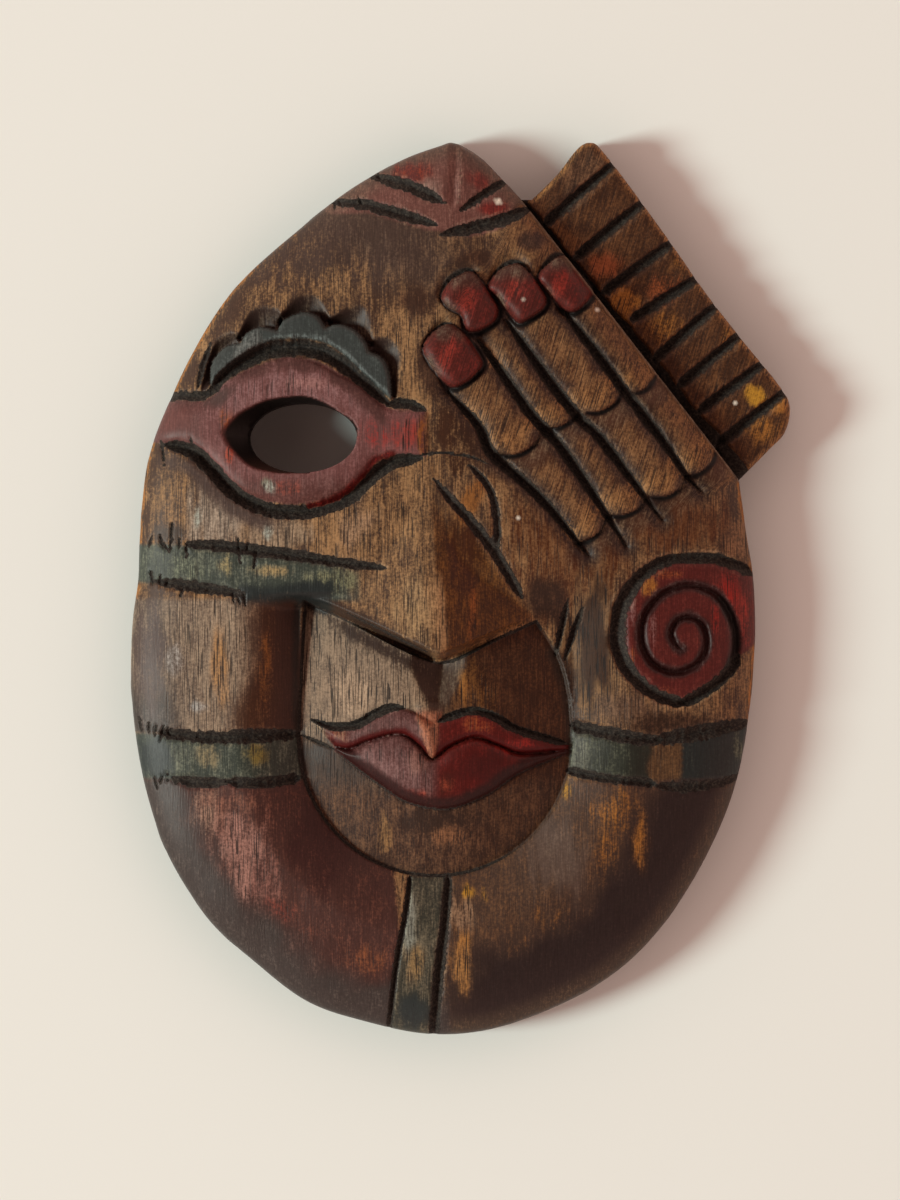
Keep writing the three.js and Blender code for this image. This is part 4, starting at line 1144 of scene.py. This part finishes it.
def band_grooves(work):
    for points, width, depth, taper in (
        ([(-76.5, 12.4), (-67, 11.9), (-57, 10.7), (-45, 9), (-33, 7.2), (-20.5, 5.6)],
         [3, 3.6, 3.6, 3.2, 2.2], 2.1, 4),
        ([(-86, 2.1), (-79, 1.2), (-70, 0), (-60, -1.7)], [1.8, 3.8, 3.6, 2.4], 1.8, 4),
        ([(-84, -40), (-78, -40.9), (-68.5, -41.6), (-60, -41.2), (-45.5, -40.6)],
         [3, 3.8, 4.2, 3.6], 2.3, 3),
        ([(-80.5, -53), (-75, -53.9), (-70, -54.2), (-63.8, -53.7)], [2, 3.4, 3.2, 2], 1.7, 3),
        ([(-64.3, -53.8), (-57, -54.2), (-50, -53.6), (-44.8, -52.8)], 3.4, 1.8, 2.5),
        ([(31, -38.2), (39, -39.8), (48, -41.6), (55.5, -42.2)], [3.4, 3.8, 3.4], 2, 1.5),
        ([(54.5, -42.2), (64.5, -40.6), (72.5, -39.2), (80.8, -37.4)], [3.4, 5, 4.6, 3], 2.2, 2.5),
        ([(30, -50.8), (39, -52.6), (54, -54.4)], 2.8, 1.6, 1.5),
        ([(54.5, -55), (63, -55.3), (72.5, -54.3), (78.5, -52.2)], [2.6, 3.6, 3, 2], 1.6, 3),
    ):
        work.cut(curve(points), width, depth, taper=taper, ragged=0.22, fade=0.15)


CHIN_LEFT_LINE = curve([(-14.2, -80.5), (-15, -88), (-16.8, -98), (-18.4, -108), (-20.5, -127)])
CHIN_RIGHT_LINE = curve([(-3.4, -80.5), (-4.4, -92), (-5.8, -104), (-7.8, -128)])


def on_chin(work):
    """The ground below the cheek bands and the mouth."""
    return rising(-52.5, -54.5, work.p.imag) * (1 - work.within(MUZZLE_LOOP))


def chin_left(work):
    p = work.p
    left = on_chin(work) * rising(-15.5, -17.5, p.real + 0.12 * (p.imag + 100))
    work.lay(left, paint=(66, 40, 34), bare=(112, 66, 50), wear=0.26)
    # The rows at (-61, -74) and (-54, -84) are painted highlight on the slope turned to the light; the row at
    # (-38, -72) is painted shade where the chin slopes down to the mouth
    work.dabs([
        (-71, -63, 6, 9, 0.52, (146, 110, 90)), (-61, -74, 8, 16, 0.56, (146, 102, 88)),
        (-54, -84, 5, 14, 0.46, (126, 82, 70)), (-51, -90, 6, 4, 0.42, (122, 54, 40)),
        (-26, -104, 9, 5, 0.46, (118, 66, 40)), (-45, -97, 8, 3, 0.38, (110, 58, 42)),
        (-62, -60, 10, 3, 0.4, (126, 80, 62)), (-38, -72, 10, 14, 0.16, None, (58, 32, 28)),
    ], left)


def chin_edge(work):
    p = work.p
    edge = on_chin(work) * rising(17, 8, from_rim(p) + 3 * noise(p, 6, 71))
    work.lay(edge, paint=(54, 45, 41), bare=(86, 73, 65), wear=0.24)


def chin_right(work):
    p = work.p
    reach = from_rim(p)
    right = on_chin(work) * rising(-5.5, -3.5, p.real + 0.08 * (p.imag + 100))
    work.lay(right, paint=(64, 46, 36), bare=(104, 70, 44), wear=0.36)
    work.dabs([
        (2, -85, 4, 2.5, 0.7, YELLOW), (0, -106, 3, 10, 0.64, OCHRE), (28, -94, 9, 5, 0.44, OCHRE),
        (40, -78, 4, 12, 0.42, OCHRE), (50, -70, 4, 9, 0.46, OCHRE), (44, -62, 9, 6, 0.42, OCHRE),
        (68, -60, 4, 3, 0.5, OCHRE), (29.5, -56.5, 1.6, 2.4, 0.5, YELLOW), (17, -102, 6, 4, 0.4, OCHRE),
    ], right, ragged=0.8)
    # Painted sheen on the slope near the mouth that is turned to the light
    work.dabs([(26, -74, 9, 14, 0.3, (96, 76, 62), (78, 60, 50), 30)], right)
    dark = rising(28, 17, reach + 4 * noise(p, 6, 72)) * rising(24, 54, p.real - p.imag * 0.4)
    work.lay(right * dark, paint=(40, 28, 25), bare=(66, 48, 40), wear=0.14)
    rim = right * rising(7, 2, reach) * rising(-62, -70, p.imag - 0.4 * p.real)
    work.lay(rim, paint=(62, 48, 38), bare=(96, 74, 54), wear=0.3)
    work.dabs([
        (0, -91, 4, 5, 0.56, (132, 100, 74)), (0.4, -107, 3, 10, 0.6, (150, 104, 56), (80, 56, 38)),
        (50, -71, 3, 8, 0.5, OCHRE, (60, 38, 25)),
    ], right)


def chin_band(work):
    band_loop = np.concatenate([CHIN_LEFT_LINE, CHIN_RIGHT_LINE[::-1]])
    band = work.within(band_loop, blur=0.3)
    work.lay(band, paint=(52, 50, 41), bare=(106, 94, 74), wear=0.38)
    work.dabs([
        (-14, -95, 2.4, 12, 0.62, (122, 120, 106)), (-12.5, -104, 3.5, 6, 0.6, (134, 104, 66)),
        (-14, -118, 6, 6, 0.1, None, GREEN_BLACK),
    ], band)
    work.cut(CHIN_LEFT_LINE, 1.7, 1.5, taper=2, lean=0.3)
    work.cut(CHIN_RIGHT_LINE, [2.4, 3, 3], 2, taper=2)


def specks(work):
    """Pale dabs and flecks, and light scuffs."""
    flecks = ((10.4, 108.1, 1.2), (16.3, 19.5, 0.6), (17.6, 80, 0.45), (38, 77.5, 0.5), (77, 52.2, 0.45))
    for x, y, size in flecks:
        fleck = rising(size, size * 0.5, abs(work.p - complex(x, y)))
        work.lay(fleck, paint=CREAM, bare=CREAM, wear=0.2, soot=0)
    work.dabs([
        (-73.2, 20, 1, 3, 0.5, (160, 160, 144)), (-53.7, 15.3, 1.4, 2.4, 0.5, (160, 160, 144)),
        (-53, 28.2, 1.8, 1.8, 0.5, (160, 160, 144)),
    ])


def tool_marks(work):
    p = work.p
    work.z += 0.18 * noise(p, 9, 3) + 0.05 * noise(p, 2.5, 4, 7)
    work.z += work.soot * (0.2 * noise(p, 1.2, 5) + 0.1 * noise(p, 0.6, 6))
    work.wear = np.clip(work.wear, 0, 1)
    work.soot = np.clip(work.soot, 0, 1)


# Mesh

def hex_grid(step, loop):
    rows = np.arange(loop.imag.min(), loop.imag.max(), step * math.sqrt(3) / 2)
    columns = np.arange(loop.real.min(), loop.real.max(), step)
    shifted = columns[None, :] + (np.arange(len(rows)) % 2)[:, None] * step / 2
    return (shifted + 1j * rows[:, None]).ravel()


def fine_places(p):
    """Whether points lie where the surface bends most, found on a square raster."""
    left, low = RASTER_CORNER
    x = np.arange(left, 1 - left, RASTER_STEP)
    y = np.arange(low, 1 - low, RASTER_STEP)
    raster = (x[:, None] + 1j * y[None, :]).ravel()
    heights = carve(raster).z.reshape(len(x), len(y))
    bend = sum(abs(heights - (np.roll(heights, 1, axis) + np.roll(heights, -1, axis)) / 2) for axis in (0, 1))
    spread = np.max([np.roll(bend, (i, j), (0, 1)) for i in (-1, 0, 1) for j in (-1, 0, 1)], axis=0)
    on_part = inside(whole_loop, raster).reshape(spread.shape)
    limit = np.quantile(spread[on_part], 1 - FINE_SHARE)
    i = np.clip(np.round((p.real - left) / RASTER_STEP).astype(int), 0, len(x) - 1)
    j = np.clip(np.round((p.imag - low) / RASTER_STEP).astype(int), 0, len(y) - 1)
    return spread[i, j] > limit


def crisp_lines():
    """Lines of points along both edges of every steep wall."""
    pairs = [
        (respaced(hand_edge, CREASE_STEP), 0.12),
        (respaced(np.append(MUZZLE_LOOP, MUZZLE_LOOP[0]), CREASE_STEP), MUZZLE_WALL / 2),
    ]
    return [moved(line, offset) for line, half in pairs for offset in (-half, half)]


def front_points(hole):
    lines = np.concatenate(crisp_lines())
    coarse, fine = hex_grid(COARSE_STEP, whole_loop), hex_grid(FINE_STEP, whole_loop)
    p = np.concatenate([coarse[~fine_places(coarse)], fine[fine_places(fine)]])
    p = p[depth_in(whole_loop, p) > 0.3]
    p = p[depth_in(hole, p) < -0.25]
    lines = lines[depth_in(whole_loop, lines) > 0.2]
    for line in crisp_lines():
        i = near(line, 1, p)
        close = to_line(line, p[i])[0] < 0.2
        p = np.delete(p, i[close])
    return np.concatenate([lines, p])


def triangulate(loops, points):
    """Triangles over the first loop with the later loops as holes.

    Gives the points, the triangles' corners and the place of each given point among the points.
    """
    p = np.concatenate([*loops, points])
    edges = []
    start = 0
    for loop in loops:
        places = np.arange(len(loop))
        edges += list(zip((start + places).tolist(), (start + np.roll(places, -1)).tolist()))
        start += len(loop)
    flat = [Vector((q.real, q.imag)) for q in p]
    corners, _, faces, sources, _, _ = delaunay_2d_cdt(flat, edges, [], 1, 1e-5)
    corners = np.array([complex(*corner) for corner in corners])
    faces = np.array([face for face in faces if len(face) == 3])
    for hole in loops[1:]:
        faces = faces[~inside(hole, corners[faces].mean(1))]
    place = np.zeros(len(p), int)
    for new, old in enumerate(sources):
        for each in old:
            place[each] = new
    return corners, faces, place


def back_height(p):
    reach = rim_reach(p) - RIM_WIDTH
    ring = np.minimum(abs(p - FACE_CENTRE) / reach, 1)
    gouged = 0.35 * abs(np.sin(p.real / 3.1 + noise(p, 20, 8))) * rising(1, 0.85, ring)
    return np.maximum(HOLLOW_DEPTH * np.sqrt(np.maximum(1 - ring**4, 0)) - 0.4 * ring**8 - gouged, 0)


def back_points(hole):
    p = hex_grid(BACK_STEP, whole_loop)
    arms = face_loop[::3] - FACE_CENTRE
    rings = [
        FACE_CENTRE + arms / abs(arms) * (abs(arms) - RIM_WIDTH) * share for share in (1, 0.985, 0.96, 0.92)
    ]
    reach = rim_reach(p) - RIM_WIDTH
    share = abs(p - FACE_CENTRE) / reach
    p = p[(share < 0.9) | (share > 1.02)]
    p = np.concatenate([p, *rings])
    p = p[depth_in(whole_loop, p) > 1.5]
    return p[depth_in(hole, p) < -1]


# Outset from the outline, and height, of the rings down the side wall
SIDE_WALL = [(0.5, 5), (0.3, 2), (-0.5, 0.5), (-1.2, 0)]


def build_mask():
    """One closed mesh: the carved front, the side wall, the scooped back and the wall of the eye hole."""
    hole = hole_loop(120)
    rim = whole_loop
    front, front_faces, front_place = triangulate([rim, hole], front_points(hole))
    step = np.gradient(np.concatenate([rim[-1:], rim, rim[:1]]))[1:-1]
    outward = -1j * step / abs(step)
    back, back_faces, back_place = triangulate([rim + outward * SIDE_WALL[-1][0], hole], back_points(hole))
    work = carve(front)
    parts = [np.stack([front.real, front.imag, work.z], 1)]
    faces = [front_faces]
    count = len(front)
    above = front_place[:len(rim)]
    wobble = 0.2 * noise(rim, 7, 31)
    for outset, z in SIDE_WALL[:-1]:
        ring = rim + outward * (outset + wobble - 0.3)
        parts.append(np.stack([ring.real, ring.imag, np.full(len(ring), float(z))], 1))
        below = count + np.arange(len(rim))
        faces.append(strip(above, below))
        count += len(rim)
        above = below
    back_z = back_height(back)
    below = count + back_place[:len(rim)]
    back_z[back_place[:len(rim)]] = 0
    faces.append(strip(above, below))
    parts.append(np.stack([back.real, back.imag, back_z], 1))
    faces.append(count + back_faces[:, ::-1])
    upper = front_place[len(rim):len(rim) + len(hole)]
    lower = count + back_place[len(rim):len(rim) + len(hole)]
    faces.append(strip(lower, upper))
    return np.concatenate(parts), np.concatenate(faces), work


def strip(above, below):
    """Triangles between two rings of equally many points, the first above the second, running left round."""
    above_next, below_next = np.roll(above, -1), np.roll(below, -1)
    return np.concatenate([
        np.stack([above, below, below_next], 1),
        np.stack([above, below_next, above_next], 1),
    ])


def make_piece(name, points, faces):
    mesh = bpy.data.meshes.new(name)
    mesh.from_pydata((points * MM).tolist(), [], faces.tolist())
    mesh.update()
    mesh.polygons.foreach_set("use_smooth", np.ones(len(faces), bool))
    piece = bpy.data.objects.new(name, mesh)
    bpy.context.collection.objects.link(piece)
    return piece


def add_layers(piece, work, count):
    """Stores the paint on the piece: colours and amounts at each point, plain stain off the front."""
    rest = count - len(work.p)
    for name, values, plain in (("paint", work.paint, DARK_STAIN), ("bare", work.bare, STAIN)):
        layer = piece.data.attributes.new(name, "FLOAT_COLOR", "POINT")
        colours = np.concatenate([values, np.tile(plain, (rest, 1))])
        layer.data.foreach_set("color", np.column_stack([colours, np.ones(count)]).ravel())
    amounts = (("wear", work.wear, 0.4), ("soot", work.soot, 0), ("shift", work.shift * MM, 0))
    for name, values, plain in amounts:
        layer = piece.data.attributes.new(name, "FLOAT", "POINT")
        layer.data.foreach_set("value", np.concatenate([values, np.full(rest, plain)]))


# Material

class Shading:
    """Adds nodes to a material, with sockets given by name."""

    def __init__(self, material):
        self.nodes = material.node_tree.nodes
        self.links = material.node_tree.links

    def add(self, kind, settings=(), **sockets):
        node = self.nodes.new("ShaderNode" + kind)
        for name, value in dict(settings).items():
            setattr(node, name, value)
        for name, value in sockets.items():
            self.join(value, node.inputs[name.replace("_", " ")])
        return node

    def join(self, value, socket):
        if isinstance(value, bpy.types.NodeSocket):
            self.links.new(value, socket)
        else:
            socket.default_value = value

    def layer(self, name):
        return self.add("Attribute", {"attribute_name": name})

    def texture(self, place, stretch, detail=3, roughness=0.55):
        """Noise with so many bumps a metre across the grain, along it and in depth."""
        mapping = self.add("Mapping", Vector=place, Scale=stretch)
        stretched = mapping.outputs["Vector"]
        pattern = self.add("TexNoise", Vector=stretched, Scale=1.0, Detail=detail, Roughness=roughness)
        return pattern.outputs["Fac"]

    def sum(self, *terms):
        """Adds up pairs of a value and its factor to the first value."""
        total = terms[0]
        for value, factor in terms[1:]:
            node = self.add("Math", {"operation": "MULTIPLY_ADD"})
            for place, part in enumerate((value, factor, total)):
                self.join(part, node.inputs[place])
            total = node.outputs["Value"]
        return total

    def between(self, value, low, high, start=0.0, end=1.0):
        node = self.add("MapRange", {"interpolation_type": "SMOOTHSTEP"}, Value=value)
        for name, number in (("From Min", low), ("From Max", high), ("To Min", start), ("To Max", end)):
            node.inputs[name].default_value = number
        return node.outputs["Result"]

    def blend(self, factor, first, second, way="MIX"):
        node = self.add("Mix", {"data_type": "RGBA", "blend_type": way, "clamp_factor": True})
        for value, place in ((factor, 0), (first, 6), (second, 7)):
            self.join(value, node.inputs[place])
        return node.outputs[2]


def carved_wood():
    material = bpy.data.materials.new("carved_wood")
    material.use_nodes = True
    shading = Shading(material)
    shader = shading.nodes["Principled BSDF"]
    place = shading.add("TexCoord").outputs["Object"]
    shift = shading.add("CombineXYZ", X=shading.layer("shift").outputs["Fac"]).outputs["Vector"]
    upright = shading.add("VectorMath", {"operation": "SUBTRACT"})
    shading.join(place, upright.inputs[0])
    shading.join(shift, upright.inputs[1])
    grain = upright.outputs["Vector"]
    fibres = shading.texture(grain, (1300, 85, 400), 4, 0.7)
    threads = shading.texture(grain, (2900, 170, 800), 2, 0.6)
    pores = shading.texture(grain, (2800, 120, 600), 0)
    blotches = shading.texture(grain, (330, 150, 200), 5, 0.62)
    grit = shading.texture(place, (1300, 1300, 1300), 3, 0.7)

    wear = shading.layer("wear").outputs["Fac"]
    soot = shading.layer("soot").outputs["Fac"]
    worn = shading.sum(wear, (fibres, 0.6), (threads, 0.55), (blotches, 0.65), (grit, 0.75))
    worn = shading.between(worn, 1.5, 2.05)
    paint, bare = (shading.layer(name).outputs["Color"] for name in ("paint", "bare"))
    wood = shading.blend(worn, paint, bare)
    streaks = shading.between(threads, 0.25, 0.75, 0.86, 1.14)
    wood = shading.blend(1.0, wood, streaks, "MULTIPLY")
    wood = shading.blend(1.0, wood, shading.between(grit, 0.3, 0.7, 0.88, 1.12), "MULTIPLY")
    open_pores = shading.between(pores, 0.62, 0.68)
    open_pores = shading.sum(0.0, (open_pores, shading.between(wear, 0.3, 0.6, 0.1, 0.85)))
    wood = shading.blend(open_pores, wood, (*(CHARCOAL * 1.6), 1))
    charred = shading.blend(shading.between(grit, 0.4, 0.7), (*SOOT, 1), (*GREY_SOOT, 1))
    sooty = shading.between(shading.sum(soot, (grit, 0.5), (fibres, 0.2)), 0.7, 1.0)
    shading.join(shading.blend(sooty, wood, charred), shader.inputs["Base Color"])

    matt = shading.sum(0.4, (worn, 0.16), (sooty, 0.32), (blotches, 0.1))
    shading.join(matt, shader.inputs["Roughness"])
    shader.inputs["Specular IOR Level"].default_value = 0.2
    shader.inputs["Specular Tint"].default_value = (1, 0.84, 0.76, 1)
    relief = shading.sum(0.0, (threads, 0.3), (fibres, 0.2), (open_pores, -0.25))
    rough = shading.sum(relief, (shading.sum(0.0, (sooty, grit)), 1.2))
    bump = shading.add("Bump", Height=rough, Strength=0.8, Distance=0.0003)
    shading.join(bump.outputs["Normal"], shader.inputs["Normal"])
    return material


points, faces, work = build_mask()
mask = make_piece("carved_mask", points, faces)
add_layers(mask, work, len(points))
mask.data.materials.append(carved_wood())
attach(mask, "root")
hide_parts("mask")


# Floor, light and camera

FLOOR_HALF = 4
FLOOR_LEVEL = -0.0002


def plain_floor():
    corners = [(x * FLOOR_HALF, y * FLOOR_HALF, 0) for x, y in ((-1, -1), (1, -1), (1, 1), (-1, 1))]
    mesh = bpy.data.meshes.new("floor")
    mesh.from_pydata(corners, [], [(0, 1, 2, 3)])
    floor = bpy.data.objects.new("floor", mesh)
    floor.location.z = FLOOR_LEVEL
    bpy.context.collection.objects.link(floor)
    material = bpy.data.materials.new("floor")
    material.use_nodes = True
    shader = material.node_tree.nodes["Principled BSDF"]
    shader.inputs["Base Color"].default_value = (*linear(227, 226, 216), 1)
    shader.inputs["Roughness"].default_value = 0.9
    mesh.materials.append(material)


def soft_light(name, degrees_round, degrees_up, distance, width, power, colour):
    """A round lamp aimed at the mask, from a direction in degrees round from +X and up from the floor."""
    light = bpy.data.lights.new(name, "AREA")
    light.shape = "DISK"
    light.size = width
    light.energy = power
    light.color = colour
    lamp = bpy.data.objects.new(name, light)
    turn, lift = math.radians(degrees_round), math.radians(degrees_up)
    level = math.cos(lift) * distance
    lamp.location = (level * math.cos(turn), level * math.sin(turn), math.sin(lift) * distance)
    lamp.rotation_euler = (-lamp.location).to_track_quat("-Z", "Y").to_euler()
    bpy.context.collection.objects.link(lamp)


def surroundings(colour, beside, overhead):
    """Soft light from all sides, of two strengths: it is darker overhead, where the onlooker stands."""
    world = bpy.data.worlds.new("studio")
    world.use_nodes = True
    nodes, links = world.node_tree.nodes, world.node_tree.links
    background = nodes["Background"]
    background.inputs["Color"].default_value = (*colour, 1)
    direction = nodes.new("ShaderNodeSeparateXYZ")
    links.new(nodes.new("ShaderNodeTexCoord").outputs["Generated"], direction.inputs[0])
    fade = nodes.new("ShaderNodeMapRange")
    fade.interpolation_type = "SMOOTHSTEP"
    links.new(direction.outputs["Z"], fade.inputs["Value"])
    for name, number in (("From Min", 0.5), ("From Max", 0.95), ("To Min", beside), ("To Max", overhead)):
        fade.inputs[name].default_value = number
    links.new(fade.outputs["Result"], background.inputs["Strength"])
    bpy.context.scene.world = world


PICTURE_CENTRE = (-0.003, -0.0032)
PICTURE_HEIGHT = 0.3367
CAMERA_DISTANCE = 1.5
SURFACE_LEVEL = 0.009


def look_down():
    data = bpy.data.cameras.new("camera")
    data.sensor_width = 36
    data.lens = data.sensor_width * CAMERA_DISTANCE / PICTURE_HEIGHT
    camera = bpy.data.objects.new("camera", data)
    camera.location = (*PICTURE_CENTRE, CAMERA_DISTANCE + SURFACE_LEVEL)
    bpy.context.collection.objects.link(camera)
    bpy.context.scene.camera = camera


plain_floor()
soft_light(
    "window", degrees_round=188, degrees_up=27.5, distance=6, width=1.7, power=428, colour=(0.78, 0.98, 0.98),
)
surroundings(colour=(1, 0.7, 0.645), beside=1.11, overhead=0.11)
look_down()
bpy.context.scene.view_settings.view_transform = "Standard"
